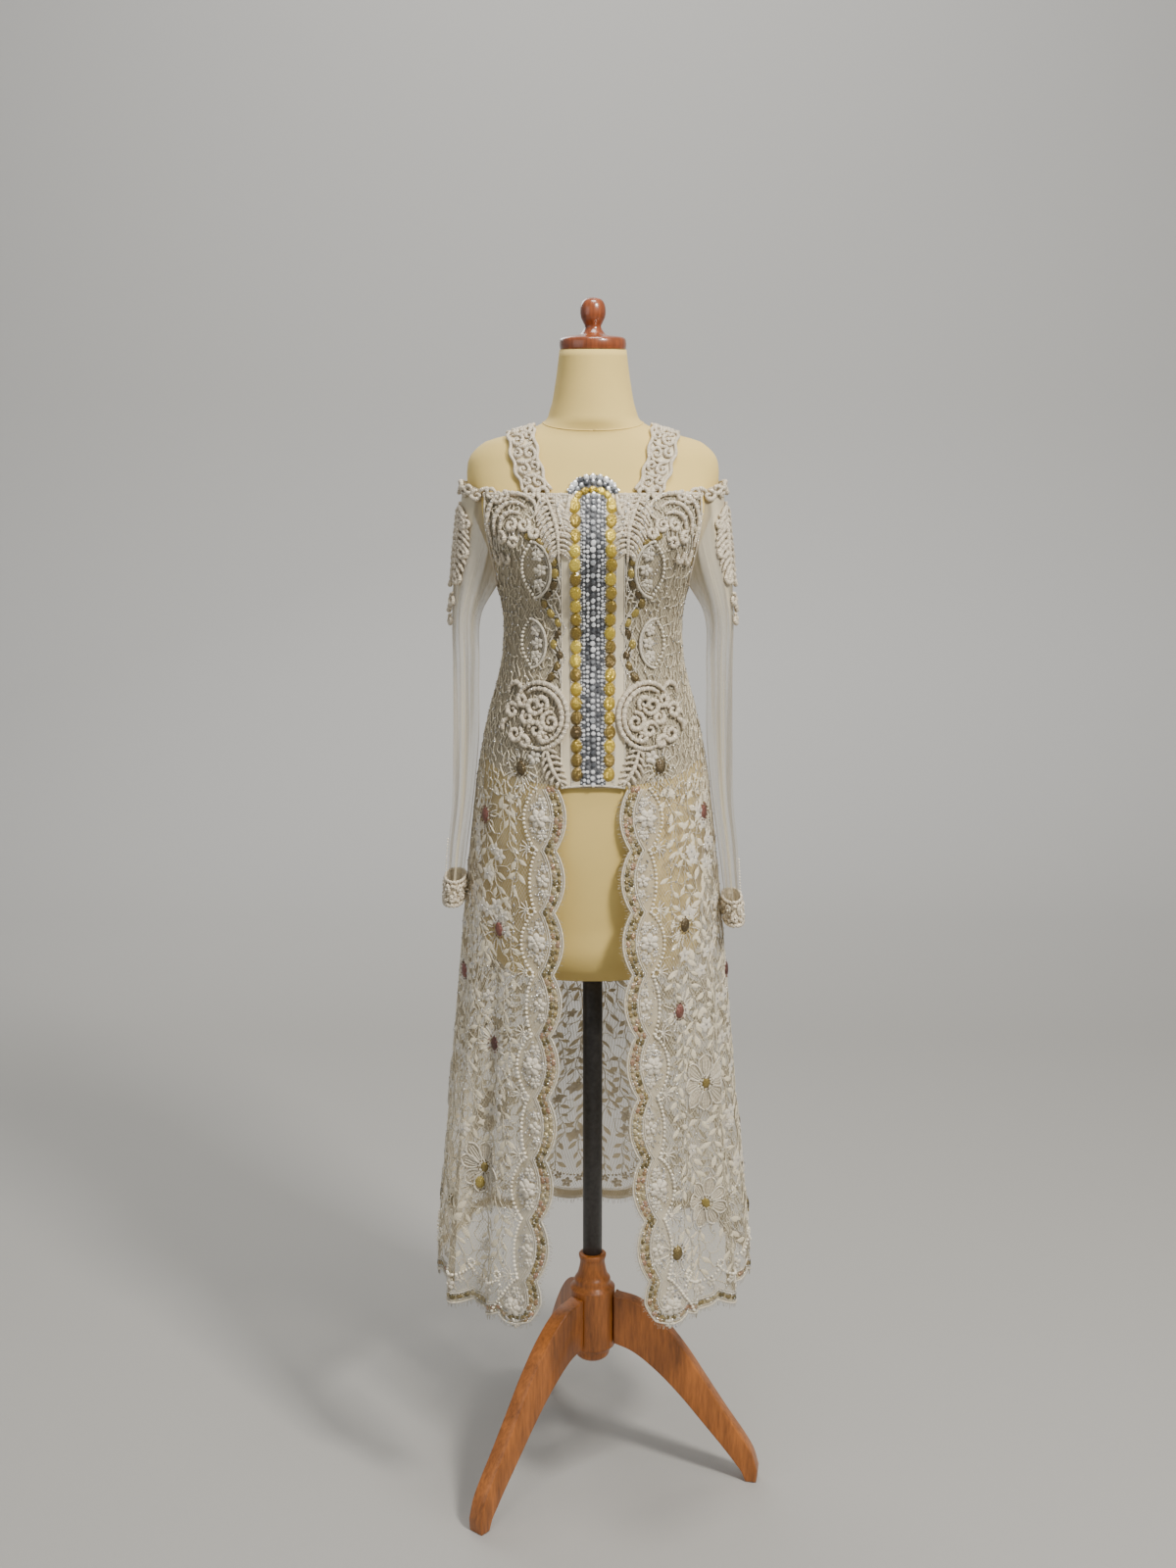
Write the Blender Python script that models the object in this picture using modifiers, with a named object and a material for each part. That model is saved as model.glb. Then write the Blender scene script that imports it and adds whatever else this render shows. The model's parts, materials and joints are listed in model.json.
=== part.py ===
"""Long lace kebaya on a limbless dress form with a turned wooden stand.

Metres, +Z up. The front of the garment faces -Y and the wearer's right is at -X.
Cloth is lofted from the sections of the dress form: the form's surface, the lining,
the lace and what is sewn on the lace are the same points, moved out layer by layer.
"""

import math

import bpy
import numpy as np

# Driving dimensions
POLE_PLACE = (-0.0100, -0.0094)  # the pole's axis, so that the whole stands centred on the origin
SEAM = 0.0004  # gap between pieces that are sewn edge to edge
LINING_IN = 0.0007  # distance from the form's surface to the lining's inner face
LINING_OUT = 0.0019
LINING_DROP = 0.13  # share of the first row by which the lining stays under the neckline
LINING_HEM_MIDDLE = 0.04  # share of the last row by which its hem curves up, at the middle
LINING_HEM_RISE = 0.78  # and what is added to that towards the sides
LACE_IN = 0.0024
LACE_OUT = 0.0038
STRAP_IN = 0.0014
FAN_IN = 0.0009
TRIM_GAP = 0.0007  # between the lace and what is sewn on it, across the cells' corners
TULLE = 0.0012  # wall of the sleeves
NECKLINE_RIM = 0.0016  # the lace is rolled over a cord at the neckline

NECKLINE_Z = 1.440
ARMPIT_Z = 1.315
WAIST_SPLIT_Z = 1.054  # the placket ends here and the front opens
PANEL_END_Z = 0.395
HEM_Z = 0.340
FORM_BOTTOM_Z = 0.780

# Sections of the dress form, from the flat bottom to the top of the neck
# Columns: height, half width, depth in front, depth behind, power of the section's curve
FORM = np.array([
    (0.780, 0.128, 0.098, 0.100, 2.2),
    (0.795, 0.142, 0.111, 0.113, 2.2),
    (0.860, 0.151, 0.120, 0.123, 2.3),
    (0.940, 0.156, 0.123, 0.130, 2.3),
    (1.000, 0.1565, 0.122, 0.131, 2.3),
    (1.060, 0.152, 0.117, 0.122, 2.3),
    (1.105, 0.146, 0.112, 0.111, 2.3),
    (1.145, 0.137, 0.106, 0.098, 2.2),
    (1.180, 0.127, 0.098, 0.086, 2.2),
    (1.210, 0.1205, 0.092, 0.079, 2.2),
    (1.245, 0.1175, 0.089, 0.076, 2.2),
    (1.280, 0.1185, 0.094, 0.079, 2.2),
    (1.315, 0.1265, 0.108, 0.086, 2.3),
    (1.350, 0.137, 0.119, 0.093, 2.4),
    (1.380, 0.149, 0.122, 0.097, 2.4),
    (1.410, 0.161, 0.113, 0.098, 2.3),
    (1.440, 0.1680, 0.098, 0.094, 2.2),
    (1.460, 0.1695, 0.087, 0.087, 2.1),
    (1.4755, 0.1685, 0.079, 0.081, 2.0),
    (1.488, 0.1630, 0.072, 0.074, 2.0),
    (1.498, 0.1530, 0.066, 0.068, 2.0),
    (1.506, 0.1400, 0.061, 0.063, 2.0),
    (1.511, 0.1220, 0.058, 0.059, 2.0),
    (1.5165, 0.099, 0.056, 0.057, 2.0),
    (1.524, 0.077, 0.056, 0.056, 2.0),
    (1.532, 0.0640, 0.058, 0.056, 2.0),
    (1.545, 0.0580, 0.0555, 0.055, 2.0),
    (1.580, 0.0505, 0.0495, 0.0495, 2.0),
    (1.6240, 0.0446, 0.0446, 0.0446, 2.0),
])
FORM_UPPER_ROWS = (
    1.624, 1.550, 1.532, 1.524, 1.5165, 1.511, 1.506, 1.498, 1.488, 1.4755, 1.460,
)
FORM_LOWER_ROWS = (1.000, 0.940, 0.860, 0.795, 0.780)
BUST_Z = 1.372
BUST_SHARE = 0.42  # where the bust stands out most, from centre front to side
BUST_RISE = 0.009
BUST_SPREAD_Z = 0.040
BUST_SPREAD_SHARE = 0.20

# Outer face of the lace below the hip, a bell that hangs free of the form
# Columns: as for the form
BELL = np.array([
    (0.330, 0.2240, 0.232, 0.200, 2.2),
    (0.400, 0.2210, 0.224, 0.193, 2.2),
    (0.480, 0.2140, 0.212, 0.185, 2.2),
    (0.570, 0.2045, 0.198, 0.175, 2.2),
    (0.660, 0.1975, 0.184, 0.166, 2.2),
    (0.750, 0.1895, 0.170, 0.157, 2.2),
    (0.840, 0.1815, 0.156, 0.149, 2.25),
    (0.930, 0.1730, 0.142, 0.141, 2.3),
    (1.000, 0.1655, 0.132, 0.1375, 2.3),
    (1.060, 0.1580, 0.1235, 0.1280, 2.3),
    (1.105, 0.1503, 0.1163, 0.1153, 2.3),
])

# Columns: height, share of the quarter from the centre line to the side at which the armhole starts
ARMHOLE = np.array([
    (1.315, 0.840),
    (1.350, 0.760),
    (1.380, 0.690),
    (1.410, 0.640),
    (1.440, 0.600),
])
BODICE_ROWS = (1.440, 1.410, 1.380, 1.350, 1.315, 1.275, 1.235, 1.195, 1.150, 1.105, 1.054)
ARMHOLE_ROWS = 5  # rows from the neckline to the armpit
BODICE_SHARES = (0.0, 0.16, 0.32, 0.483, 0.59, 0.69, 0.79, 0.895, 1.0)  # up to the armhole
ARM_COLUMN = len(BODICE_SHARES) - 1
SIDE_COLUMN = ARM_COLUMN + 2
BORDER_COLUMN = 3  # below the placket a front panel starts at this column
LOWER_STEPS = 8

# Folds of the hanging lace: place is the share of the panel, from its front or centre edge
# Columns: place, width as a share, depth at the hem (outward is positive)
FOLDS = {
    "front_left": (
        (0.20, 0.085, -0.016), (0.42, 0.075, 0.012), (0.66, 0.085, -0.015), (0.86, 0.070, 0.002),
    ),
    "front_right": (
        (0.16, 0.080, -0.014), (0.38, 0.085, 0.011), (0.60, 0.080, -0.017), (0.83, 0.080, 0.006),
    ),
    "back_left": (
        (0.16, 0.070, 0.014), (0.33, 0.065, -0.014), (0.52, 0.075, 0.012), (0.73, 0.075, -0.016),
    ),
    "back_right": (
        (0.19, 0.075, 0.015), (0.38, 0.070, -0.013), (0.57, 0.070, 0.012), (0.77, 0.075, -0.014),
    ),
}
FOLD_TOP_Z = 1.03
PROBE = 0.010  # step that finds which way is outward

# Front edge of the hanging lace: distance of the scallops' notches and of the border's inner line
# Columns: height, notch, line
FRONT_EDGE = np.array([
    (0.335, 0.098, 0.128),
    (0.365, 0.081, 0.125),
    (0.395, 0.075, 0.1225),
    (0.560, 0.063, 0.1160),
    (0.800, 0.053, 0.1080),
    (1.060, 0.047, 0.1000),
])
SCALLOP_DEPTH = 0.013
SCALLOP_STEPS = 4  # segments a scallop
SCALLOP_ROUND = 0.8  # power that fills the scallops' arcs out
# Columns: distance in from the scalloped edge, height of the cord's raised face over the lace
BORDER_PROFILE = ((0.0, 0.0004), (0.0040, 0.0024), (0.0110, 0.0))
HEM_SCALLOPS = 4  # a quarter
HEM_SCALLOP_DEPTH = 0.011
HEM_CORD_RISE = 0.0022
HEM_EDGE_RISE = 0.0002
HEM_CORD_UP = 0.0050  # from the edge to the cord's ridge

# Sleeve, hanging beside the lace
# Columns: height, inner side, outer side, middle in Y, half depth in Y
SLEEVE = np.array([
    (0.820, 0.1885, 0.2075, -0.046, 0.0335),
    (0.860, 0.1855, 0.2045, -0.043, 0.0350),
    (0.910, 0.1795, 0.2010, -0.038, 0.0375),
    (0.950, 0.1745, 0.1990, -0.032, 0.0400),
    (1.000, 0.1675, 0.1935, -0.026, 0.0425),
    (1.100, 0.1570, 0.1915, -0.014, 0.0450),
    (1.200, 0.1555, 0.1915, -0.006, 0.0475),
    (1.280, 0.1490, 0.1920, 0.000, 0.0520),
    (1.315, 0.1300, 0.1900, 0.001, 0.0560),
    (1.350, 0.1130, 0.1865, 0.002, 0.0600),
    (1.380, 0.1010, 0.1830, 0.003, 0.0620),
    (1.410, 0.0980, 0.1795, 0.003, 0.0610),
    (1.455, 0.0980, 0.1750, 0.003, 0.0570),
])
SLEEVE_TOP_Z = 1.452
SLEEVE_BLEND_Z = 1.190  # the seam's shape has faded out of the sleeve here
SLEEVE_BLEND_ROWS = 5
SLEEVE_LOWER_ROWS = 5
SLEEVE_CAP_POINTS = 7
CUFF_BOTTOM = {"left": 0.880, "right": 0.852}
CUFF_TALL = 0.036
CUFF_PUSHES = (0.0028, 0.0042, 0.0042, 0.0028)  # corded ridges over the cuff's height

PLACKET_TOP_Z = 1.4375
PLACKET_BOTTOM_Z = 1.0560
PLACKET_HALF_TOP = 0.0305
PLACKET_HALF_BOTTOM = 0.0280
GOLD_STONES = 20  # in each of the two columns
# Columns: place over the half width, height of the face at a stone and between two stones
PLACKET_PROFILE = (
    (-1.0, 0.0014, 0.0014), (-0.77, 0.0046, 0.0018), (-0.51, 0.0014, 0.0014), (0.0, 0.0040, 0.0030),
    (0.51, 0.0014, 0.0014), (0.77, 0.0046, 0.0018), (1.0, 0.0014, 0.0014),
)
FAN_BASE_Z = NECKLINE_Z + 0.0012
FAN_HALF = 0.0350
FAN_TALL = 0.0240
FAN_SPOKES = 12
FAN_RISES = (0.0055, 0.0055, 0.0055, 0.0030)  # thickness, from the fan's middle to its rim

STRAP_HALF = 0.0175
STRAP_WAVE = 0.0022  # the edges' scallops
STRAP_STEPS = 16
STRAP_MIDDLE = 0.0720  # distance from the centre line at the necklines
STRAP_SPREAD = 0.0240  # how much farther out the strap runs over the shoulder
# Columns: place over the half width, thickness
STRAP_PROFILE = ((-1.0, 0.0030), (-0.55, 0.0050), (0.0, 0.0038), (0.55, 0.0050), (1.0, 0.0030))
STRAP_START = math.radians(17)  # angle over the line through the shoulders' middle
STRAP_END = math.radians(161)
SHOULDER_AXIS_Z = 1.415

SCROLL_RADIUS = 0.0038
SCROLL_END = 0.55  # share of the radius at the cord's ends
STEM_STEPS = 6
SCROLL_STEPS = 20
# Columns: start, middle, outer radius, inner radius, first angle and sweep in degrees
SCROLLS = {
    "bust_scroll": ((0.0430, 1.405), (0.0900, 1.3950), 0.0310, 0.0080, 130, -560),
    "waist_scroll": ((0.0400, 1.070), (0.0720, 1.1420), 0.0390, 0.0080, 200, -560),
}
ARM_SCROLL_ROWS = 5  # of the sleeve's rows, from its top
ARM_SCROLL_MIDDLE = 0.0065  # thickness along the middle
ARM_SCROLL_EDGE = 0.0035
ARM_SCROLL_NARROW = 0.72  # width of every second row
ARM_SCROLL_THIN = 0.7  # thickness of every second row
ARM_SCROLL_GAP = 0.0007

CAP_PROFILE = (
    (0.0, 1.6246), (0.0425, 1.6246), (0.0442, 1.6262), (0.0445, 1.6330), (0.0436, 1.6385),
    (0.0405, 1.6412), (0.0200, 1.6425), (0.0165, 1.6450), (0.0125, 1.6500), (0.0108, 1.6545),
    (0.0128, 1.6590), (0.0160, 1.6660), (0.0170, 1.6745), (0.0152, 1.6840), (0.0100, 1.6900),
    (0.0, 1.6925),
)
POLE_RADIUS = 0.0140
POLE_GAP = 0.0003  # at each end
HUB_TOP_Z = 0.335
HUB_PROFILE = (
    (0.0, 0.170), (0.0150, 0.170), (0.0240, 0.176), (0.0265, 0.186), (0.0330, 0.192),
    (0.0330, 0.282), (0.0265, 0.289), (0.0265, 0.296), (0.0215, 0.304), (0.0180, 0.322),
    (0.0200, 0.330), (0.0180, 0.335), (0.0, 0.335),
)
LEG_ANGLES = {"front_right": -11.6, "front_left": -131.6, "back": 108.4}
LEG_THICK = 0.0250
LEG_OUTLINE = (
    (0.0335, 0.2740), (0.0700, 0.2650), (0.1050, 0.2380), (0.1400, 0.1960), (0.1720, 0.1480),
    (0.2000, 0.1060), (0.2240, 0.0720), (0.2410, 0.0440), (0.2490, 0.0180), (0.2475, 0.0),
    (0.2315, 0.0), (0.2255, 0.0150), (0.2000, 0.0480), (0.1680, 0.0860), (0.1320, 0.1280),
    (0.0980, 0.1620), (0.0640, 0.1880), (0.0335, 0.2000),
)

SIDES = {"left": -1, "right": 1}  # as seen from the front
FACINGS = {"front": -1, "back": 1}


def clear_scene():
    for old in list(bpy.data.objects):
        bpy.data.objects.remove(old, do_unlink=True)


def material(name, colour, roughness, metallic=0.0):
    made = bpy.data.materials.new(name)
    made.use_nodes = True
    shader = made.node_tree.nodes["Principled BSDF"]
    shader.inputs["Base Color"].default_value = (*colour, 1.0)
    shader.inputs["Roughness"].default_value = roughness
    shader.inputs["Metallic"].default_value = metallic
    return made


def read(table, height):
    """A row of a table at any height, on a smooth curve through its rows."""
    heights = table[:, 0]
    i = int(np.clip(np.searchsorted(heights, height) - 1, 0, len(heights) - 2))
    step = heights[i + 1] - heights[i]
    t = float(np.clip((height - heights[i]) / step, 0.0, 1.0))
    slopes = np.gradient(table[:, 1:], heights, axis=0)
    return (
        (1 + 2 * t) * (1 - t) ** 2 * table[i, 1:]
        + t * (1 - t) ** 2 * step * slopes[i]
        + t * t * (3 - 2 * t) * table[i + 1, 1:]
        + t * t * (t - 1) * step * slopes[i + 1]
    )


def quarter_point(row, side, facing, share, push):
    """Point of a section: share runs from the centre line to the side seam."""
    half_width, front, back, power = row
    depth = front if facing < 0 else back
    turn = share * math.pi / 2
    x = (half_width + push) * max(math.sin(turn), 0.0) ** (2 / power)
    y = (depth + push) * max(math.cos(turn), 0.0) ** (2 / power)
    return np.array((side * x, facing * y))


def form_point(side, facing, share, height, push=0.0):
    row = read(FORM, height)
    x, y = quarter_point(row, side, facing, share, push)
    if facing < 0:
        up = (height - BUST_Z) / BUST_SPREAD_Z
        along = (share - BUST_SHARE) / BUST_SPREAD_SHARE
        y -= BUST_RISE * math.exp(-up * up - along * along)
    return np.array((x, y, height))


def armhole_share(height):
    return float(np.interp(height, ARMHOLE[:, 0], ARMHOLE[:, 1]))


def body_share(column, height):
    """Share of a column of the bodice's grid, which all layers have in common."""
    at_arm = armhole_share(height)
    if column <= ARM_COLUMN:
        return BODICE_SHARES[column] * at_arm
    return (at_arm + 1) / 2 if column < SIDE_COLUMN else 1.0


def bodice_point(side, facing, column, height, push):
    return form_point(side, facing, body_share(column, height), height, push)


def fade(value, start, end):
    t = min(max((value - start) / (end - start), 0.0), 1.0)
    return t * t * (3 - 2 * t)


def fold_depth(panel, place, height):
    grown = fade(FOLD_TOP_Z - height, 0.0, FOLD_TOP_Z - HEM_Z)
    depth = 0.0
    for middle, width, at_hem in FOLDS[panel]:
        depth += at_hem * math.exp(-(((place - middle) / width) ** 2))
    return depth * grown


def bell_start(facing, height):
    """Share of the section at which a hanging panel starts."""
    if facing > 0:
        return 0.0
    row = read(BELL, height)
    line = float(np.interp(height, FRONT_EDGE[:, 0], FRONT_EDGE[:, 2]))
    return math.asin((line / row[0]) ** (row[3] / 2)) * 2 / math.pi


def bell_point(name, side, facing, place, height, push=0.0):
    """Point of the hanging lace: place runs over the panel from its front edge to the side seam."""
    start = bell_start(facing, height)
    share = start + (1 - start) * place
    row = read(BELL, height)
    point = quarter_point(row, side, facing, share, push)
    outward = quarter_point(row, side, facing, share, push + PROBE) - point
    point = point + fold_depth(name, place, height) * outward / np.linalg.norm(outward)
    return np.array((*point, height))


def part_line(point, side, facing, at_centre, at_side):
    """Keeps a panel's edge half a seam's gap away from the panel that it is sewn to."""
    x, y, z = point
    if at_centre:
        x = side * SEAM / 2
    if at_side:
        y = facing * SEAM / 2
    return np.array((x, y, z))


def shell(name, outer, inner, triangles, finish):
    """A closed wall from two layers of the same points. The layers share each diagonal."""
    count = len(outer)
    faces = [tuple(t) for t in triangles]
    faces += [tuple(count + v for v in reversed(t)) for t in triangles]
    borders = {}
    for a, b, c in triangles:
        for edge in ((a, b), (b, c), (c, a)):
            borders[edge] = True
    for a, b in borders:
        if (b, a) not in borders:
            faces.append((b, a, count + a))
            faces.append((b, count + a, count + b))
    return solid(name, list(outer) + list(inner), faces, finish)


def solid(name, points, faces, finish):
    points = np.array(points, float)
    mesh = bpy.data.meshes.new(name)
    mesh.from_pydata([tuple(p) for p in points], [], faces)
    mesh.validate()
    corners = points[np.array([f[:3] for f in faces])]
    volume = np.einsum("ij,ij->i", corners[:, 0], np.cross(corners[:, 1], corners[:, 2])).sum()
    if volume < 0:
        mesh.flip_normals()
    mesh.shade_smooth()
    mesh.set_sharp_from_angle(angle=math.radians(50))
    return place_object(name, mesh, finish)


def place_object(name, data, finish):
    made = bpy.data.objects.new(name, data)
    data.materials.append(finish)
    made.location = (*POLE_PLACE, 0.0)
    PARTS.objects.link(made)
    return made


def grid_triangles(rows, columns, keep=None, wrap=False):
    """Index triangles of a grid of points, each cell cut along the same diagonal."""
    triangles = []
    for i in range(rows - 1):
        for j in range(columns if wrap else columns - 1):
            if keep is not None and not keep(i, j):
                continue
            after = (j + 1) % columns
            a, b = i * columns + j, i * columns + after
            c, d = (i + 1) * columns + after, (i + 1) * columns + j
            triangles += [(a, b, c), (a, c, d)]
    return triangles


def used_only(layers, triangles):
    used = sorted({v for t in triangles for v in t})
    place = {old: new for new, old in enumerate(used)}
    triangles = [tuple(place[v] for v in t) for t in triangles]
    return [[layer[v] for v in used] for layer in layers], triangles


def sheet_normals(points, rows, columns, wrap):
    """Normals of a grid of points, from its neighbours along and across."""
    grid = np.array(points).reshape(rows, columns, 3)
    down = np.gradient(grid, axis=0)
    if wrap:
        across = np.roll(grid, -1, axis=1) - np.roll(grid, 1, axis=1)
    else:
        across = np.gradient(grid, axis=1)
    normals = np.cross(down, across)
    normals /= np.linalg.norm(normals, axis=2, keepdims=True)
    return normals.reshape(-1, 3)


def build_torso(finish):
    """Jersey-covered torso and neck: rings in the same columns as the cloth."""
    heights = [*FORM_UPPER_ROWS, *BODICE_ROWS, *FORM_LOWER_ROWS]
    points, faces = [], []
    index = {}
    for i, height in enumerate(heights):
        for side in (-1, 1):
            for facing in (-1, 1):
                for column in range(SIDE_COLUMN + 1):
                    point = form_point(side, facing, body_share(column, height), height)
                    key = (i, side * (column > 0), facing * (column < SIDE_COLUMN), column)
                    if key not in index:
                        index[key] = len(points)
                        points.append(point)
    for i in range(len(heights) - 1):
        for side in (-1, 1):
            for facing in (-1, 1):
                for column in range(SIDE_COLUMN):
                    a, b, c, d = (
                        index[(row, side * (k > 0), facing * (k < SIDE_COLUMN), k)]
                        for row, k in ((i, column), (i, column + 1), (i + 1, column + 1), (i + 1, column))
                    )
                    turn = side * facing > 0
                    faces += [(a, c, b), (a, d, c)] if turn else [(a, b, c), (a, c, d)]
    for i, up in ((0, 1), (len(heights) - 1, -1)):
        ring = [index[(i, 1 * (k > 0), -1 * (k < SIDE_COLUMN), k)] for k in range(SIDE_COLUMN + 1)]
        ring += [index[(i, 1 * (k > 0), 1, k)] for k in range(SIDE_COLUMN - 1, -1, -1)]
        ring += [index[(i, -1, 1 * (k < SIDE_COLUMN), k)] for k in range(1, SIDE_COLUMN + 1)]
        ring += [index[(i, -1, -1, k)] for k in range(SIDE_COLUMN - 1, 0, -1)]
        middle = len(points)
        points.append(np.array((0.0, 0.0, heights[i])))
        for k, start in enumerate(ring):
            end = ring[(k + 1) % len(ring)]
            faces.append((end, start, middle) if up > 0 else (start, end, middle))
    return solid("form_torso", points, faces, finish)


def build_lining(facing_name, finish):
    """Bodice lining, which shows through the lace and ends in a curved hem at the hip."""
    facing = FACINGS[facing_name]
    columns = list(range(-SIDE_COLUMN, SIDE_COLUMN + 1))
    layers = [[], []]
    rows = list(BODICE_ROWS)
    for i, height in enumerate(rows):
        for column in columns:
            side = -1 if column < 0 else 1
            other, part = height, 0.0
            if i == 0:
                other, part = rows[1], LINING_DROP
            if i == len(rows) - 1:
                other = rows[i - 1]
                part = LINING_HEM_MIDDLE + LINING_HEM_RISE * (abs(column) / SIDE_COLUMN) ** 2
            for layer, push in zip(layers, (LINING_OUT, LINING_IN)):
                point = bodice_point(side, facing, abs(column), height, push)
                point += part * (bodice_point(side, facing, abs(column), other, push) - point)
                at_side = abs(column) == SIDE_COLUMN
                layer.append(part_line(point, side, facing, False, at_side))
    middle = len(columns) // 2

    def keep(i, j):
        outside = j < middle - ARM_COLUMN or j >= middle + ARM_COLUMN
        return not (outside and i < ARMHOLE_ROWS - 1)

    triangles = []
    width = len(columns)
    for i in range(len(rows) - 1):
        for j in range(width - 1):
            if not keep(i, j):
                continue
            a, b = i * width + j, i * width + j + 1
            c, d = (i + 1) * width + j + 1, (i + 1) * width + j
            # Both halves are cut along the diagonal that runs down from the centre line.
            triangles += [(a, b, c), (a, c, d)] if j >= middle else [(a, b, d), (b, c, d)]
    layers, triangles = used_only(layers, triangles)
    return shell(f"lining_{facing_name}", layers[0], layers[1], triangles, finish)


def lower_places(facing):
    """Places of the hanging panel's columns: two for each of the bodice's."""
    first = BORDER_COLUMN if facing < 0 else 0
    start = bell_start(facing, WAIST_SPLIT_Z)
    shares = [body_share(column, WAIST_SPLIT_Z) for column in range(first, SIDE_COLUMN + 1)]
    places = [(share - start) / (1 - start) for share in shares]
    places[0] = 0.0
    halves = [(a + b) / 2 for a, b in zip(places, places[1:])]
    return sorted(places + halves)


def lower_heights():
    return [
        WAIST_SPLIT_Z + (PANEL_END_Z - WAIST_SPLIT_Z) * i / LOWER_STEPS for i in range(LOWER_STEPS + 1)
    ]


def panel_edge(name, side, facing, place, height, push):
    point = bell_point(name, side, facing, place, height, push)
    return part_line(point, side, facing, facing > 0 and place == 0.0, place == 1.0)


def build_panel(facing_name, side_name, finish):
    """Lace panel, from the off-shoulder neckline to the hem border."""
    name = f"{facing_name}_{side_name}"
    side, facing = SIDES[side_name], FACINGS[facing_name]
    first = BORDER_COLUMN if facing < 0 else 0
    width = SIDE_COLUMN + 1
    wall = LACE_OUT - LACE_IN
    outer, inner, triangles = [], [], []
    for i, height in enumerate(BODICE_ROWS):
        for column in range(width):
            for layer, push in ((outer, LACE_OUT), (inner, LACE_IN)):
                rimmed = layer is outer and i == 0 and 1 < column < ARM_COLUMN
                rim = NECKLINE_RIM if rimmed else 0.0
                point = bodice_point(side, facing, column, height, push + rim)
                layer.append(part_line(point, side, facing, column == 0, column == SIDE_COLUMN))
    last = len(BODICE_ROWS) - 1

    def arm_gap(i, j):
        return i < ARMHOLE_ROWS - 1 and j >= ARM_COLUMN

    places = lower_places(facing)
    heights = lower_heights()
    start = len(outer)
    for height in heights:
        for place in places:
            outer.append(panel_edge(name, side, facing, place, height, 0.0))
            inner.append(panel_edge(name, side, facing, place, height, -wall))
    # The bodice's last row takes the hanging panel's first points where the two meet.
    for column in range(first, width):
        here = last * width + column
        there = start + 2 * (column - first)
        outer[here], inner[here] = outer[there], inner[there]
    triangles += grid_triangles(last, width, keep=lambda i, j: not arm_gap(i, j))
    for j in range(width - 1):
        a, b = (last - 1) * width + j, (last - 1) * width + j + 1
        if j < first:
            c, d = last * width + j + 1, last * width + j
            if j + 1 == first:
                c = start
            triangles += [(a, b, c), (a, c, d)]
            continue
        d = start + 2 * (j - first)
        middle, c = d + 1, d + 2
        triangles += [(a, middle, d), (a, b, middle), (b, c, middle)]
    lower = grid_triangles(len(heights), len(places))
    triangles += [tuple(start + v for v in t) for t in lower]
    (outer, inner), triangles = used_only((outer, inner), triangles)
    return shell(name, outer, inner, triangles, finish)


def blend_rows(values, steps):
    """Values spread over a finer grid, straight between the given ones."""
    at = np.linspace(0, len(values) - 1, (len(values) - 1) * steps + 1)
    values = np.array(values)
    low = np.minimum(at.astype(int), len(values) - 2)
    part = (at - low)[:, None]
    return values[low] * (1 - part) + values[low + 1] * part


def edge_point(side, across, height, push):
    """Point of the bell in front, at a distance from the centre line."""
    half_width, front, _, power = read(BELL, height)
    x = across / (half_width + push)
    y = (front + push) * max(1 - x**power, 0.0) ** (1 / power)
    return np.array((side * across, -y, height))


def build_border(side_name, finish):
    """Scalloped border down a front edge, with a cord raised along the scallops."""
    side = SIDES[side_name]
    name = f"front_{side_name}"
    wall = LACE_OUT - LACE_IN
    seam_rows = {}
    for layer, push in (("outer", 0.0), ("inner", -wall)):
        line = [bell_point(name, side, -1, 0.0, z, push) for z in lower_heights()]
        line.append(bell_point(name, side, -1, 0.0, HEM_Z, push))
        fine = blend_rows(line[:-1], SCALLOP_STEPS)
        end = blend_rows(line[-2:], 3)[1:]
        seam_rows[layer] = np.vstack([fine, end])
    outer, inner = [], []
    rows = len(seam_rows["outer"])
    for i in range(rows):
        seam_out, seam_in = seam_rows["outer"][i], seam_rows["inner"][i]
        height = seam_out[2]
        notch = float(np.interp(height, FRONT_EDGE[:, 0], FRONT_EDGE[:, 1]))
        phase = (i % SCALLOP_STEPS) / SCALLOP_STEPS
        edge = notch - SCALLOP_DEPTH * math.sin(math.pi * phase) ** SCALLOP_ROUND
        for layer, seam, base in ((outer, seam_out, 0.0), (inner, seam_in, -wall)):
            line = abs(seam[0]) - SEAM
            offset = seam[1] - edge_point(side, line, height, base)[1]
            crossings = [(edge + inward, raised) for inward, raised in BORDER_PROFILE] + [(line, 0.0)]
            for across, raised in crossings:
                lift = raised if layer is outer else 0.0
                point = edge_point(side, across, height, base + lift)
                point[1] += offset * ((across - edge) / (line - edge)) ** 2
                layer.append(point)
    triangles = grid_triangles(rows, 4)
    return shell(f"border_{side_name}", outer, inner, triangles, finish)


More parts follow.
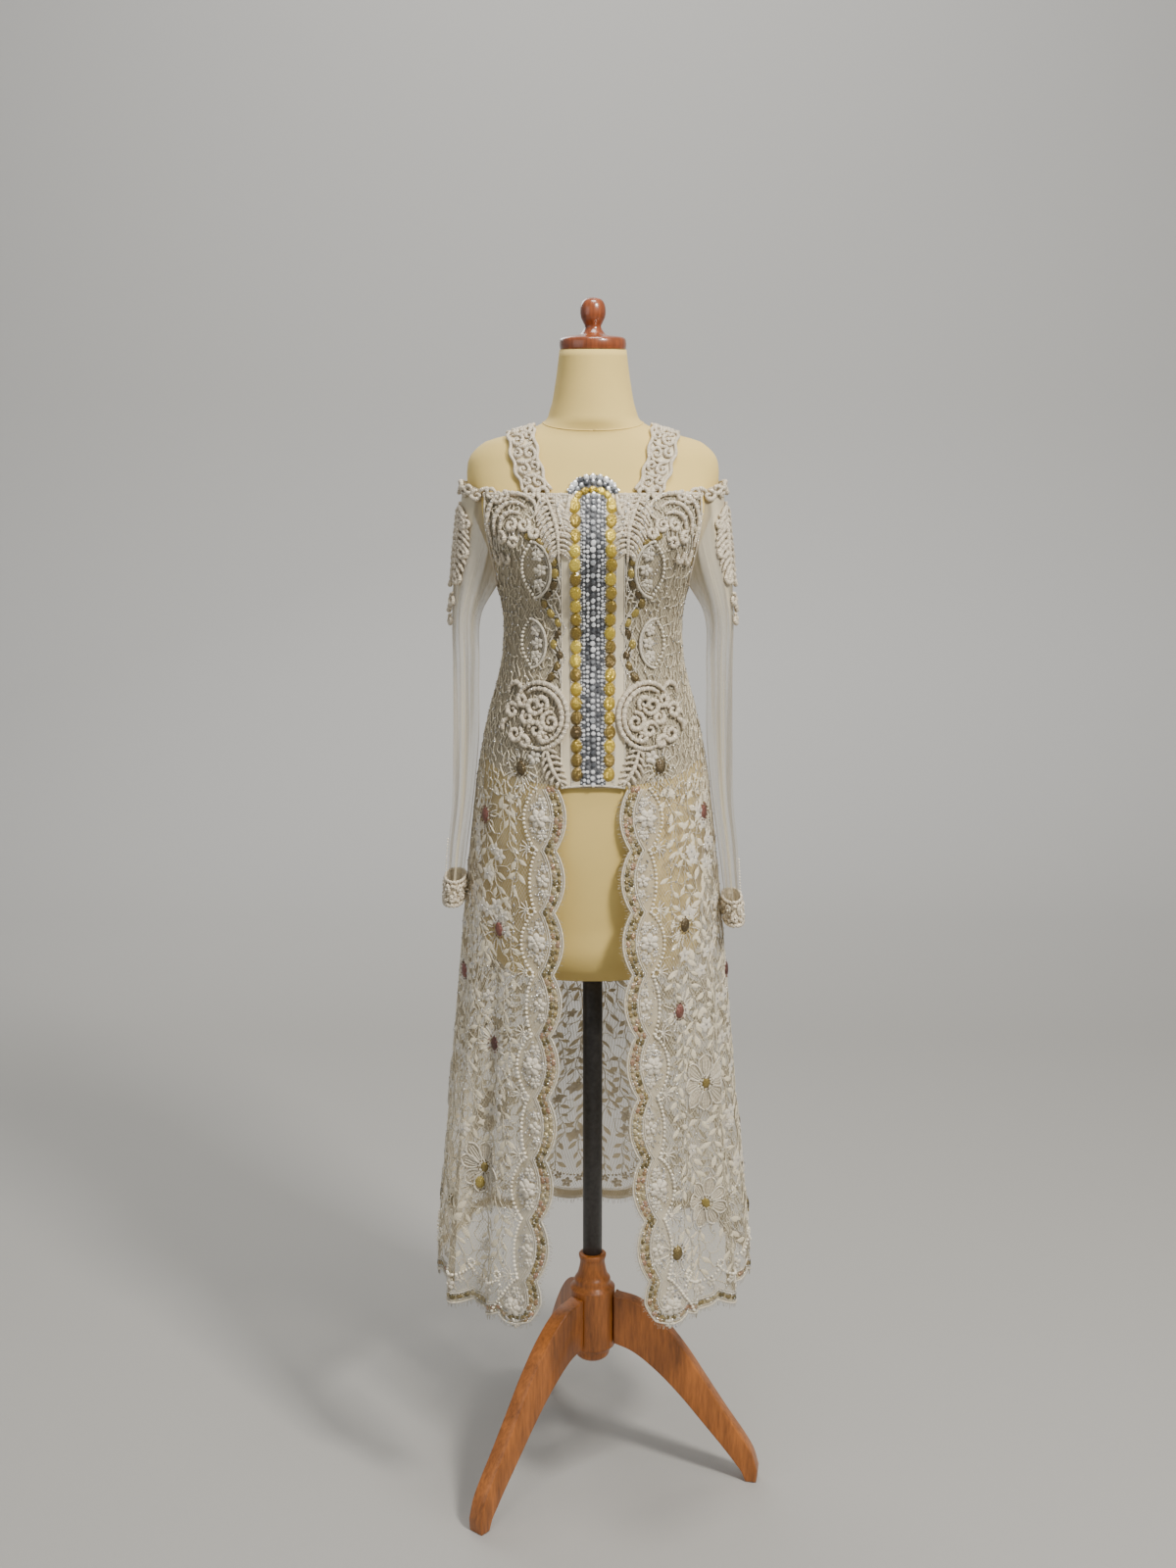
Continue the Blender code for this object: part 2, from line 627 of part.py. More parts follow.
def build_hem(facing_name, side_name, finish):
    """Scalloped border round the hem of one panel."""
    side, facing = SIDES[side_name], FACINGS[facing_name]
    name = f"{facing_name}_{side_name}"
    wall = LACE_OUT - LACE_IN
    places = lower_places(facing)
    steps = 2 if facing < 0 else 1
    fine_places = blend_rows([[p] for p in places], steps)[:, 0]
    count = len(fine_places)
    outer, inner = [], []
    for layer, push in ((outer, 0.0), (inner, -wall)):
        seam = [panel_edge(name, side, facing, p, PANEL_END_Z, push) for p in places]
        top = blend_rows(seam, steps)
        top[:, 2] -= SEAM
        if facing < 0:
            top[0, 0] += side * SEAM
        raises = (0.0, HEM_CORD_RISE, HEM_EDGE_RISE)
        for row in range(3):
            for k, place in enumerate(fine_places):
                if row == 0:
                    layer.append(top[k])
                    continue
                phase = (k / (count - 1) * HEM_SCALLOPS) % 1.0
                if k == count - 1:
                    phase = 0.0
                low = HEM_Z - HEM_SCALLOP_DEPTH * math.sin(math.pi * phase) ** SCALLOP_ROUND
                height = low if row == 2 else low + HEM_CORD_UP
                lift = raises[row] if layer is outer else 0.0
                point = panel_edge(name, side, facing, place, height, push + lift)
                if facing < 0 and k == 0:
                    point[0] += side * SEAM
                layer.append(point)
    triangles = grid_triangles(3, count)
    return shell(f"hem_{name}", outer, inner, triangles, finish)


def sleeve_section(side, height, turn):
    """Point of the sleeve's section: turn 0 is its outer side, -90 degrees its front."""
    inner, outer, middle_y, half_y = read(SLEEVE, height)
    x = (inner + outer) / 2 + (outer - inner) / 2 * math.cos(turn)
    y = middle_y + half_y * math.sin(turn)
    return np.array((side * x, y, height))


def sleeve_top(side):
    """The sleeve's top edge: round the shoulder, then down and up the armhole seam."""
    clear = LACE_OUT + TRIM_GAP + TULLE / 2
    front = [bodice_point(side, -1, ARM_COLUMN, z, clear) for z in BODICE_ROWS[:ARMHOLE_ROWS]]
    front.append(bodice_point(side, -1, ARM_COLUMN + 1, ARMPIT_Z, clear))
    armpit = bodice_point(side, -1, SIDE_COLUMN, ARMPIT_Z, clear)
    back = [bodice_point(side, 1, ARM_COLUMN, z, clear) for z in BODICE_ROWS[:ARMHOLE_ROWS]]
    back.append(bodice_point(side, 1, ARM_COLUMN + 1, ARMPIT_Z, clear))
    seam = front + [armpit] + back[::-1]
    cap = []
    for k in range(1, SLEEVE_CAP_POINTS + 1):
        turn = math.pi / 2 - math.pi * k / (SLEEVE_CAP_POINTS + 1)
        rise = (SLEEVE_TOP_Z - NECKLINE_Z) * math.cos(turn)
        point = sleeve_section(side, NECKLINE_Z + rise, turn)
        cap.append(point)
    turns = [-math.pi / 2 - math.pi * k / (len(seam) - 1) for k in range(len(seam))]
    turns += [math.pi / 2 - math.pi * k / (SLEEVE_CAP_POINTS + 1) for k in range(1, SLEEVE_CAP_POINTS + 1)]
    return seam + cap, turns


def sleeve_heights(side_name):
    bottom = CUFF_BOTTOM[side_name]
    cuff_top = bottom + CUFF_TALL
    lower = [
        SLEEVE_BLEND_Z + (cuff_top - SLEEVE_BLEND_Z) * i / SLEEVE_LOWER_ROWS
        for i in range(1, SLEEVE_LOWER_ROWS + 1)
    ]
    steps = len(CUFF_PUSHES) - 1
    return lower + [cuff_top - CUFF_TALL * i / steps for i in range(1, steps + 1)]


def sleeve_points(side_name):
    side = SIDES[side_name]
    top, turns = sleeve_top(side)
    rows = []
    for i in range(SLEEVE_BLEND_ROWS + 1):
        part = i / SLEEVE_BLEND_ROWS
        row = []
        for start, turn in zip(top, turns):
            height = start[2] + (SLEEVE_BLEND_Z - start[2]) * part
            shift = start - sleeve_section(side, start[2], turn)
            row.append(sleeve_section(side, height, turn) + shift * (1 - part) ** 3)
        rows.append(row)
    for height in sleeve_heights(side_name):
        rows.append([sleeve_section(side, height, turn) for turn in turns])
    return rows


def build_sleeve(side_name, finish):
    rows = sleeve_points(side_name)
    columns = len(rows[0])
    flat = [point for row in rows for point in row]
    normals = sheet_normals(flat, len(rows), columns, wrap=True)
    outer = np.array(flat) + normals * TULLE / 2
    inner = np.array(flat) - normals * TULLE / 2
    return shell(
        f"sleeve_{side_name}", outer, inner, grid_triangles(len(rows), columns, wrap=True), finish
    )


def outward_of(points, normals, rows, columns):
    """Normals turned away from the middle of each ring."""
    grid = points.reshape(rows, columns, 3)
    spokes = (grid - grid.mean(axis=1, keepdims=True)).reshape(-1, 3)
    signs = np.sign(np.einsum("ij,ij->i", spokes, normals))
    return normals * np.median(signs)


def build_cuff(side_name, finish):
    """Thick corded cuff round the sleeve's end."""
    rows = sleeve_points(side_name)[-len(CUFF_PUSHES):]
    columns = len(rows[0])
    flat = np.array([point for row in rows for point in row])
    normals = sheet_normals(flat, len(rows), columns, wrap=True)
    normals = outward_of(flat, normals, len(rows), columns)
    inner = flat + normals * (TULLE / 2 + SEAM)
    outer = flat.copy()
    for i, push in enumerate(CUFF_PUSHES):
        ring = slice(i * columns, (i + 1) * columns)
        outer[ring] += normals[ring] * (TULLE / 2 + SEAM + push)
    return shell(f"cuff_{side_name}", outer, inner, grid_triangles(len(rows), columns, wrap=True), finish)


def lace_front(across, height, push):
    """Point over a front panel, on the panel's own flat cells, moved out by push."""
    side = -1 if across < 0 else 1
    rows = list(BODICE_ROWS)
    i = int(np.clip(sum(1 for z in rows if z > height) - 1, 0, len(rows) - 2))
    part = (rows[i] - height) / (rows[i] - rows[i + 1])
    lines = []
    for z in (rows[i], rows[i + 1]):
        lines.append([bodice_point(side, -1, c, z, push)[:2] * (side, 1) for c in range(SIDE_COLUMN + 1)])
    line = np.array(lines[0]) * (1 - part) + np.array(lines[1]) * part
    y = float(np.interp(abs(across), line[:, 0], line[:, 1]))
    return np.array((across, y, height))


def over_lace(across, height, distance):
    """Point at a true distance from the outer face of a front panel."""
    reach = 0.006
    right = lace_front(across + reach, height, LACE_OUT) - lace_front(across - reach, height, LACE_OUT)
    up = lace_front(across, height + reach, LACE_OUT) - lace_front(across, height - reach, LACE_OUT)
    normal = np.cross(right, up)
    normal /= np.linalg.norm(normal)
    return lace_front(across, height, LACE_OUT) + normal * distance


def build_placket(finish):
    """Jewelled band: raised oval stones in two columns beside a raised middle."""
    rows = 2 * GOLD_STONES + 1
    outer, inner = [], []
    for i in range(rows):
        down = i / (rows - 1)
        height = PLACKET_TOP_Z + (PLACKET_BOTTOM_Z - PLACKET_TOP_Z) * down
        half = PLACKET_HALF_TOP + (PLACKET_HALF_BOTTOM - PLACKET_HALF_TOP) * down
        for share, at_stone, between in PLACKET_PROFILE:
            rise = at_stone if i % 2 == 1 else between
            outer.append(over_lace(share * half, height, TRIM_GAP + rise))
        for share in (-1.0, 0.0, 1.0):
            inner.append(over_lace(share * half, height, TRIM_GAP))
    width, low_width = len(PLACKET_PROFILE), 3
    start = len(outer)
    points = outer + inner
    faces = grid_triangles(rows, width)
    faces += [tuple(start + v for v in reversed(t)) for t in grid_triangles(rows, low_width)]
    for i in range(rows - 1):
        for j, k, turn in ((0, 0, 1), (width - 1, low_width - 1, -1)):
            a, b = i * width + j, (i + 1) * width + j
            c, d = start + (i + 1) * low_width + k, start + i * low_width + k
            faces += [(a, b, c), (a, c, d)] if turn > 0 else [(a, c, b), (a, d, c)]
    for i, turn in ((0, 1), (rows - 1, -1)):
        top = [i * width + j for j in range(width)]
        low = [start + i * low_width + k for k in range(low_width)]
        ring = [
            (top[0], low[0], low[1]), (top[0], low[1], top[1]), (top[1], low[1], top[2]),
            (top[2], low[1], top[3]), (top[3], low[1], top[4]), (top[4], low[1], top[5]),
            (top[5], low[1], top[6]), (top[6], low[1], low[2]),
        ]
        faces += ring if turn > 0 else [tuple(reversed(t)) for t in ring]
    return solid("placket", points, faces, finish)


def form_front(across, height, push):
    """Point over the bare chest, at a distance from the centre line."""
    half_width, front, _, power = read(FORM, height)
    inside = max(1 - (abs(across) / (half_width + push)) ** power, 0.0)
    return np.array((across, -(front + push) * inside ** (1 / power), height))


def build_fan(finish):
    """Arched fan of stones over the placket's top, on the bare chest."""
    rings = len(FAN_RISES) - 1
    outer, inner = [], []
    for ring, rise in enumerate(FAN_RISES):
        out = ring / rings
        for k in range(FAN_SPOKES + 1):
            turn = math.pi * k / FAN_SPOKES
            across = -FAN_HALF * out * math.cos(turn)
            height = FAN_BASE_Z + FAN_TALL * out * math.sin(turn)
            outer.append(form_front(across, height, FAN_IN + rise))
            inner.append(form_front(across, height, FAN_IN))
    # The first ring is one point: the fan's middle.
    width = FAN_SPOKES + 1
    triangles = []
    for i in range(rings):
        for j in range(FAN_SPOKES):
            a, b = i * width + j, i * width + j + 1
            c, d = (i + 1) * width + j + 1, (i + 1) * width + j
            if i == 0:
                triangles.append((0, c, d))
            else:
                triangles += [(a, b, c), (a, c, d)]
    (outer, inner), triangles = used_only((outer, inner), triangles)
    return shell("placket_fan", outer, inner, triangles, finish)


def inside_form(x, y, z):
    if z > FORM[-1, 0]:
        return False
    half_width, front, back, power = read(FORM, z)
    depth = front if y < 0 else back
    return (abs(x) / half_width) ** power + (abs(y) / depth) ** power <= 1


def over_shoulder(x, turn, push):
    """Point over the form where a ray from the shoulders' middle leaves it, in a slice at x."""
    near, far = 0.0, 0.25
    for _ in range(40):
        middle = (near + far) / 2
        y, z = -middle * math.cos(turn), SHOULDER_AXIS_Z + middle * math.sin(turn)
        if inside_form(x, y, z):
            near = middle
        else:
            far = middle
    reach = near + push
    return np.array((x, -reach * math.cos(turn), SHOULDER_AXIS_Z + reach * math.sin(turn)))


def build_strap(side_name, finish):
    """Thick applique over a shoulder, from the front neckline to the back one."""
    side = SIDES[side_name]
    outer, inner = [], []
    for i in range(STRAP_STEPS + 1):
        part = i / STRAP_STEPS
        turn = STRAP_START + (STRAP_END - STRAP_START) * part
        middle = STRAP_MIDDLE + STRAP_SPREAD * math.sin(math.pi * part) ** SCALLOP_ROUND
        half = STRAP_HALF + STRAP_WAVE * math.cos(math.pi * i)
        for crossing, raised in STRAP_PROFILE:
            x = side * (middle + half * crossing)
            outer.append(over_shoulder(x, turn, STRAP_IN + raised))
            inner.append(over_shoulder(x, turn, STRAP_IN))
    triangles = grid_triangles(STRAP_STEPS + 1, len(STRAP_PROFILE))
    return shell(f"strap_{side_name}", outer, inner, triangles, finish)


def scroll_path(start, middle, radius_out, radius_in, begin, sweep, count):
    """A stem from start that runs into a spiral round middle. Angles are in degrees."""
    spiral = []
    for k in range(count + 1):
        part = k / count
        turn = math.radians(begin + sweep * part)
        radius = radius_out + (radius_in - radius_out) * part
        spiral.append(np.array(middle) + radius * np.array((math.cos(turn), math.sin(turn))))
    first, second = spiral[0], spiral[1]
    stem = []
    reach = np.linalg.norm(first - np.array(start)) / 2
    pull = first - (second - first) / np.linalg.norm(second - first) * reach
    for k in range(STEM_STEPS):
        t = k / STEM_STEPS
        stem.append((1 - t) ** 2 * np.array(start) + 2 * t * (1 - t) * pull + t * t * first)
    return stem + spiral


def build_scroll(kind, side_name, finish):
    """Thick cord sewn down in a scroll over a front panel."""
    side = SIDES[side_name]
    path = scroll_path(*SCROLLS[kind], SCROLL_STEPS)
    curve = bpy.data.curves.new(f"{kind}_{side_name}", "CURVE")
    curve.dimensions = "3D"
    curve.bevel_depth = SCROLL_RADIUS
    curve.bevel_resolution = 1
    curve.use_fill_caps = True
    spline = curve.splines.new("POLY")
    spline.points.add(len(path) - 1)
    for k, (across, height) in enumerate(path):
        point = over_lace(side * across, height, TRIM_GAP + SCROLL_RADIUS)
        spline.points[k].co = (*point, 1.0)
        end = min(k, len(path) - 1 - k)
        spline.points[k].radius = SCROLL_END if end == 0 else 1.0
    return place_object(f"{kind}_{side_name}", curve, finish)


def build_arm_scroll(side_name, finish):
    """Thick applique down the outer upper arm, on the sleeve's own points moved out."""
    rows = sleeve_points(side_name)
    columns = len(rows[0])
    flat = np.array([point for row in rows for point in row])
    normals = sheet_normals(flat, len(rows), columns, wrap=True)
    normals = outward_of(flat, normals, len(rows), columns)
    middle = columns - (SLEEVE_CAP_POINTS + 1) // 2
    picks = [middle - 1, middle, middle + 1]
    outer, inner = [], []
    for i in range(1, ARM_SCROLL_ROWS * 2 + 1):
        low, part = divmod(i, 2)
        part /= 2
        narrow, thin = (1.0, 1.0) if i % 2 else (ARM_SCROLL_NARROW, ARM_SCROLL_THIN)
        for c in picks:
            here = [r * columns + c for r in (low, low + 1)]
            centre = [r * columns + middle for r in (low, low + 1)]
            point = flat[here[0]] * (1 - part) + flat[here[1]] * part
            core = flat[centre[0]] * (1 - part) + flat[centre[1]] * part
            normal = normals[here[0]] * (1 - part) + normals[here[1]] * part
            point = core + (point - core) * narrow
            raised = thin * (ARM_SCROLL_MIDDLE if c == middle else ARM_SCROLL_EDGE)
            inner.append(point + normal * (TULLE / 2 + ARM_SCROLL_GAP))
            outer.append(point + normal * (TULLE / 2 + ARM_SCROLL_GAP + raised))
    triangles = grid_triangles(ARM_SCROLL_ROWS * 2, len(picks))
    return shell(f"arm_scroll_{side_name}", outer, inner, triangles, finish)


def turned(name, profile, steps, finish):
    """A turned shape: its outline, listed from the top down, screwed round the pole's axis."""
    mesh = bpy.data.meshes.new(name)
    points = [(radius, 0.0, height) for radius, height in reversed(profile)]
    mesh.from_pydata(points, [(i, i + 1) for i in range(len(points) - 1)], [])
    made = place_object(name, mesh, finish)
    screw = made.modifiers.new("turn", "SCREW")
    screw.steps = steps
    screw.render_steps = steps
    screw.use_merge_vertices = True
    screw.merge_threshold = 0.0001
    screw.use_smooth_shade = True
    return made


def build_pole(finish):
    bottom, top = HUB_TOP_Z + POLE_GAP, FORM_BOTTOM_Z - POLE_GAP
    bpy.ops.mesh.primitive_cylinder_add(vertices=20, radius=POLE_RADIUS, depth=top - bottom)
    made = bpy.context.active_object
    made.name = "stand_pole"
    for collection in list(made.users_collection):
        collection.objects.unlink(made)
    PARTS.objects.link(made)
    made.location = (*POLE_PLACE, (bottom + top) / 2)
    made.data.materials.append(finish)
    return made


def build_leg(name, angle, finish):
    """A sawn, curved leg: a flat outline in the leg's own plane, given its thickness."""
    curve = bpy.data.curves.new(f"stand_leg_{name}", "CURVE")
    curve.dimensions = "2D"
    curve.fill_mode = "BOTH"
    curve.extrude = LEG_THICK / 2
    spline = curve.splines.new("POLY")
    spline.points.add(len(LEG_OUTLINE) - 1)
    for point, (radius, height) in zip(spline.points, LEG_OUTLINE):
        point.co = (radius, height, 0.0, 1.0)
    spline.use_cyclic_u = True
    made = place_object(f"stand_leg_{name}", curve, finish)
    made.rotation_euler = (math.pi / 2, 0.0, math.radians(angle))
    return made


def build_all():
    jersey = material("cream jersey", (0.66, 0.57, 0.36), 0.85)
    wood = material("red-brown lacquered wood", (0.26, 0.07, 0.02), 0.3)
    pine = material("orange-brown wood", (0.36, 0.13, 0.04), 0.45)
    metal = material("dark painted tube", (0.05, 0.05, 0.05), 0.4, 0.6)
    satin = material("ivory lining", (0.62, 0.60, 0.55), 0.6)
    lace = material("ivory lace", (0.60, 0.54, 0.47), 0.8)
    tulle = material("ivory tulle", (0.64, 0.60, 0.52), 0.7)
    cord = material("ivory corded trim", (0.66, 0.58, 0.50), 0.75)
    stones = material("gold and clear stones", (0.62, 0.52, 0.30), 0.25, 0.5)

    build_torso(jersey)
    turned("neck_cap", CAP_PROFILE, 20, wood)
    turned("stand_hub", HUB_PROFILE, 20, pine)
    build_pole(metal)
    for name, angle in LEG_ANGLES.items():
        build_leg(name, angle, pine)
    for facing_name in FACINGS:
        build_lining(facing_name, satin)
        for side_name in SIDES:
            build_panel(facing_name, side_name, lace)
            build_hem(facing_name, side_name, cord)
    for side_name in SIDES:
        build_border(side_name, cord)
        build_sleeve(side_name, tulle)
        build_cuff(side_name, cord)
        build_strap(side_name, cord)
        build_arm_scroll(side_name, cord)
        for kind in SCROLLS:
            build_scroll(kind, side_name, cord)
    build_placket(stones)
    build_fan(stones)


clear_scene()
PARTS = bpy.data.collections.new("kebaya_on_dress_form")
bpy.context.scene.collection.children.link(PARTS)
build_all()
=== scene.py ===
"""Looks of a long lace kebaya on its dress form: cloth, cord, beads, stones and stand.

Metres, +Z up, the front faces -Y. Left and right are as seen from the front. Cloth is laid
on charts: a chart turns flat places on the cloth (across, height) into points in space, so
that cord, leaves, flowers and beads keep their real sizes and sit on what carries them.
"""

import json
import math

import bmesh
import bpy
import numpy as np
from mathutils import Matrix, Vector

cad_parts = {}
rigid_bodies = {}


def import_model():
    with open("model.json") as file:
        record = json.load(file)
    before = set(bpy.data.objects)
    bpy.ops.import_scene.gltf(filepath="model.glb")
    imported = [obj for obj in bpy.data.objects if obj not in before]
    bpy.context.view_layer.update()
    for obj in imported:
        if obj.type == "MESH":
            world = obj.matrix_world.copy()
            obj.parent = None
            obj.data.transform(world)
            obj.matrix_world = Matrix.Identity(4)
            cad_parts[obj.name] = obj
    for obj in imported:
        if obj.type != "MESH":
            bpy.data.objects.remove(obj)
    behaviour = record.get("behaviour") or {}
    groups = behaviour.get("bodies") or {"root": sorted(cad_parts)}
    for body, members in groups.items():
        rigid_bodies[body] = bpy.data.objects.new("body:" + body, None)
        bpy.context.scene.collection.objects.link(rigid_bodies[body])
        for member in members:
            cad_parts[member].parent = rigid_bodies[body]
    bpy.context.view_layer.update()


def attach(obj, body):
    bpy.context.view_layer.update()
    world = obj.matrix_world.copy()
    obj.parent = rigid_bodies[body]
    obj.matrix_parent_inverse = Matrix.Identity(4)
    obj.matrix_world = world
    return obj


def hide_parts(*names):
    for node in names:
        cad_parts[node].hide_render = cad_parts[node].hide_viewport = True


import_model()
RANDOM = np.random.default_rng(11)

# Sizes that the solids were made from
POLE_PLACE = np.array((-0.0100, -0.0094, 0.0))
LINING_PUSH = 0.0013  # middle of the lining's wall over the form
LACE_PUSH = 0.0031  # middle of the lace's wall over the form
BELL_PUSH = -0.0007  # the same, from the outer face of the hanging lace
NECKLINE_Z = 1.440
ARMPIT_Z = 1.315
BELL_TOP_Z = 1.105
WAIST_SPLIT_Z = 1.054  # the placket ends here and the front opens
HEM_Z = 0.340

# Columns: height, half width, depth in front, depth behind, power of the section's curve
FORM = np.array([
    (0.780, 0.128, 0.098, 0.100, 2.2),
    (0.795, 0.142, 0.111, 0.113, 2.2),
    (0.860, 0.151, 0.120, 0.123, 2.3),
    (0.940, 0.156, 0.123, 0.130, 2.3),
    (1.000, 0.1565, 0.122, 0.131, 2.3),
    (1.060, 0.152, 0.117, 0.122, 2.3),
    (1.105, 0.146, 0.112, 0.111, 2.3),
    (1.145, 0.137, 0.106, 0.098, 2.2),
    (1.180, 0.127, 0.098, 0.086, 2.2),
    (1.210, 0.1205, 0.092, 0.079, 2.2),
    (1.245, 0.1175, 0.089, 0.076, 2.2),
    (1.280, 0.1185, 0.094, 0.079, 2.2),
    (1.315, 0.1265, 0.108, 0.086, 2.3),
    (1.350, 0.137, 0.119, 0.093, 2.4),
    (1.380, 0.149, 0.122, 0.097, 2.4),
    (1.410, 0.161, 0.113, 0.098, 2.3),
    (1.440, 0.1680, 0.098, 0.094, 2.2),
    (1.460, 0.1695, 0.087, 0.087, 2.1),
    (1.4755, 0.1685, 0.079, 0.081, 2.0),
    (1.488, 0.1630, 0.072, 0.074, 2.0),
    (1.498, 0.1530, 0.066, 0.068, 2.0),
    (1.506, 0.1400, 0.061, 0.063, 2.0),
    (1.511, 0.1220, 0.058, 0.059, 2.0),
    (1.5165, 0.099, 0.056, 0.057, 2.0),
    (1.524, 0.077, 0.056, 0.056, 2.0),
    (1.532, 0.0640, 0.058, 0.056, 2.0),
    (1.545, 0.0580, 0.0555, 0.055, 2.0),
    (1.580, 0.0505, 0.0495, 0.0495, 2.0),
    (1.6240, 0.0446, 0.0446, 0.0446, 2.0),
])
BUST_Z, BUST_SHARE, BUST_RISE = 1.372, 0.42, 0.009
BUST_SPREAD_Z, BUST_SPREAD_SHARE = 0.040, 0.20

# Columns: as for the form
BELL = np.array([
    (0.330, 0.2240, 0.232, 0.200, 2.2),
    (0.400, 0.2210, 0.224, 0.193, 2.2),
    (0.480, 0.2140, 0.212, 0.185, 2.2),
    (0.570, 0.2045, 0.198, 0.175, 2.2),
    (0.660, 0.1975, 0.184, 0.166, 2.2),
    (0.750, 0.1895, 0.170, 0.157, 2.2),
    (0.840, 0.1815, 0.156, 0.149, 2.25),
    (0.930, 0.1730, 0.142, 0.141, 2.3),
    (1.000, 0.1655, 0.132, 0.1375, 2.3),
    (1.060, 0.1580, 0.1235, 0.1280, 2.3),
    (1.105, 0.1503, 0.1163, 0.1153, 2.3),
])
# Columns: height, share of the quarter from the centre line to the side at which the armhole starts
ARMHOLE = np.array([(1.315, 0.840), (1.350, 0.760), (1.380, 0.690), (1.410, 0.640), (1.440, 0.600)])
# Columns: place over the panel from its front or centre edge, width as a share, depth at the hem
FOLDS = {
    "front_left": (
        (0.20, 0.085, -0.016), (0.42, 0.075, 0.012), (0.66, 0.085, -0.015), (0.86, 0.070, 0.002),
    ),
    "front_right": (
        (0.16, 0.080, -0.014), (0.38, 0.085, 0.011), (0.60, 0.080, -0.017), (0.83, 0.080, 0.006),
    ),
    "back_left": (
        (0.16, 0.070, 0.014), (0.33, 0.065, -0.014), (0.52, 0.075, 0.012), (0.73, 0.075, -0.016),
    ),
    "back_right": (
        (0.19, 0.075, 0.015), (0.38, 0.070, -0.013), (0.57, 0.070, 0.012), (0.77, 0.075, -0.014),
    ),
}
# Small ripples that grow towards the hem. Columns: depth there, waves over the share, over the height
RIPPLES = ((0.0016, 31.0, 3.0), (0.0009, 67.0, -5.0))
FOLD_TOP_Z = 1.03
PROBE = 0.010  # how far out a second section is taken to find which way is out
# Columns: height, distance of the scallops' notches from the centre line, of the border's inner line
FRONT_EDGE = np.array([
    (0.335, 0.098, 0.128),
    (0.365, 0.081, 0.125),
    (0.395, 0.075, 0.1225),
    (0.560, 0.063, 0.1160),
    (0.800, 0.053, 0.1080),
    (1.060, 0.047, 0.1000),
])
SCALLOP_Z = 0.0824  # height of one scallop down the front
SCALLOP_DEPTH = 0.013
SCALLOP_ROUND = 0.8
HEM_SCALLOPS = 4  # a quarter
HEM_SCALLOP_DEPTH = 0.011

# Columns: height, inner side, outer side, middle in Y, half depth in Y
SLEEVE = np.array([
    (0.820, 0.1885, 0.2075, -0.046, 0.0335),
    (0.860, 0.1855, 0.2045, -0.043, 0.0350),
    (0.910, 0.1795, 0.2010, -0.038, 0.0375),
    (0.950, 0.1745, 0.1990, -0.032, 0.0400),
    (1.000, 0.1675, 0.1935, -0.026, 0.0425),
    (1.100, 0.1570, 0.1915, -0.014, 0.0450),
    (1.200, 0.1555, 0.1915, -0.006, 0.0475),
    (1.280, 0.1490, 0.1920, 0.000, 0.0520),
    (1.315, 0.1300, 0.1900, 0.001, 0.0560),
    (1.350, 0.1130, 0.1865, 0.002, 0.0600),
    (1.380, 0.1010, 0.1830, 0.003, 0.0620),
    (1.410, 0.0980, 0.1795, 0.003, 0.0610),
    (1.455, 0.0980, 0.1750, 0.003, 0.0570),
])
SLEEVE_TOP_Z = 1.452
SLEEVE_BLEND_Z = 1.190
CUFF_BOTTOM = {"left": 0.880, "right": 0.852}
CUFF_TALL = 0.036

SIDES = {"left": -1, "right": 1}


def read(table, height):
    """Rows of a table at any heights, on smooth curves through its rows."""
    height = np.asarray(height, float)
    heights = table[:, 0]
    i = np.clip(np.searchsorted(heights, height) - 1, 0, len(heights) - 2)
    step = (heights[i + 1] - heights[i])[..., None]
    t = np.clip((height - heights[i])[..., None] / step, 0.0, 1.0)
    slopes = np.gradient(table[:, 1:], heights, axis=0)
    return (
        (1 + 2 * t) * (1 - t) ** 2 * table[i, 1:]
        + t * (1 - t) ** 2 * step * slopes[i]
        + t * t * (3 - 2 * t) * table[i + 1, 1:]
        + t * t * (t - 1) * step * slopes[i + 1]
    )


def smooth(value, start, end):
    t = np.clip((np.asarray(value, float) - start) / (end - start), 0.0, 1.0)
    return t * t * (3 - 2 * t)


def section(row, share, push):
    """x and y of a section: share runs from centre front (0) over the side (1) to the back (2)."""
    half_width, front, back, power = np.moveaxis(row, -1, 0)
    turn = share * math.pi / 2
    depth = np.where(share < 1, front, back)
    x = (half_width + push) * np.abs(np.sin(turn)) ** (2 / power)
    y = (depth + push) * np.abs(np.cos(turn)) ** (2 / power)
    return x, np.where(share < 1, -y, y)


def form_xy(share, height, push):
    x, y = section(read(FORM, height), share, push)
    up = (height - BUST_Z) / BUST_SPREAD_Z
    along = (share - BUST_SHARE) / BUST_SPREAD_SHARE
    return x, y - np.where(share < 1, BUST_RISE * np.exp(-up * up - along * along), 0.0)


def border_line(height):
    return np.interp(height, FRONT_EDGE[:, 0], FRONT_EDGE[:, 2])


def bell_start(height):
    """Share of the section at which a front panel starts, behind its border."""
    row = read(BELL, height)
    return np.arcsin((border_line(height) / row[..., 0]) ** (row[..., 3] / 2)) * 2 / math.pi


def bell_xy(side_name, share, height, push):
    row = read(BELL, height)
    x, y = section(row, share, push)
    out_x, out_y = section(row, share, push + PROBE)
    length = np.hypot(out_x - x, out_y - y)
    start = bell_start(height)
    depth = 0.0
    for facing, place in (("front", (share - start) / (1 - start)), ("back", 2 - share)):
        here = (share < 1) == (facing == "front")
        for middle, width, at_hem in FOLDS[f"{facing}_{side_name}"]:
            depth = depth + here * at_hem * np.exp(-(((place - middle) / width) ** 2))
    for at_hem, over_share, over_height in RIPPLES:
        depth = depth + at_hem * np.sin(share * over_share + over_height * height)
    depth = depth * smooth(FOLD_TOP_Z - height, 0.0, FOLD_TOP_Z - HEM_Z)
    return x + depth * (out_x - x) / length, y + depth * (out_y - y) / length


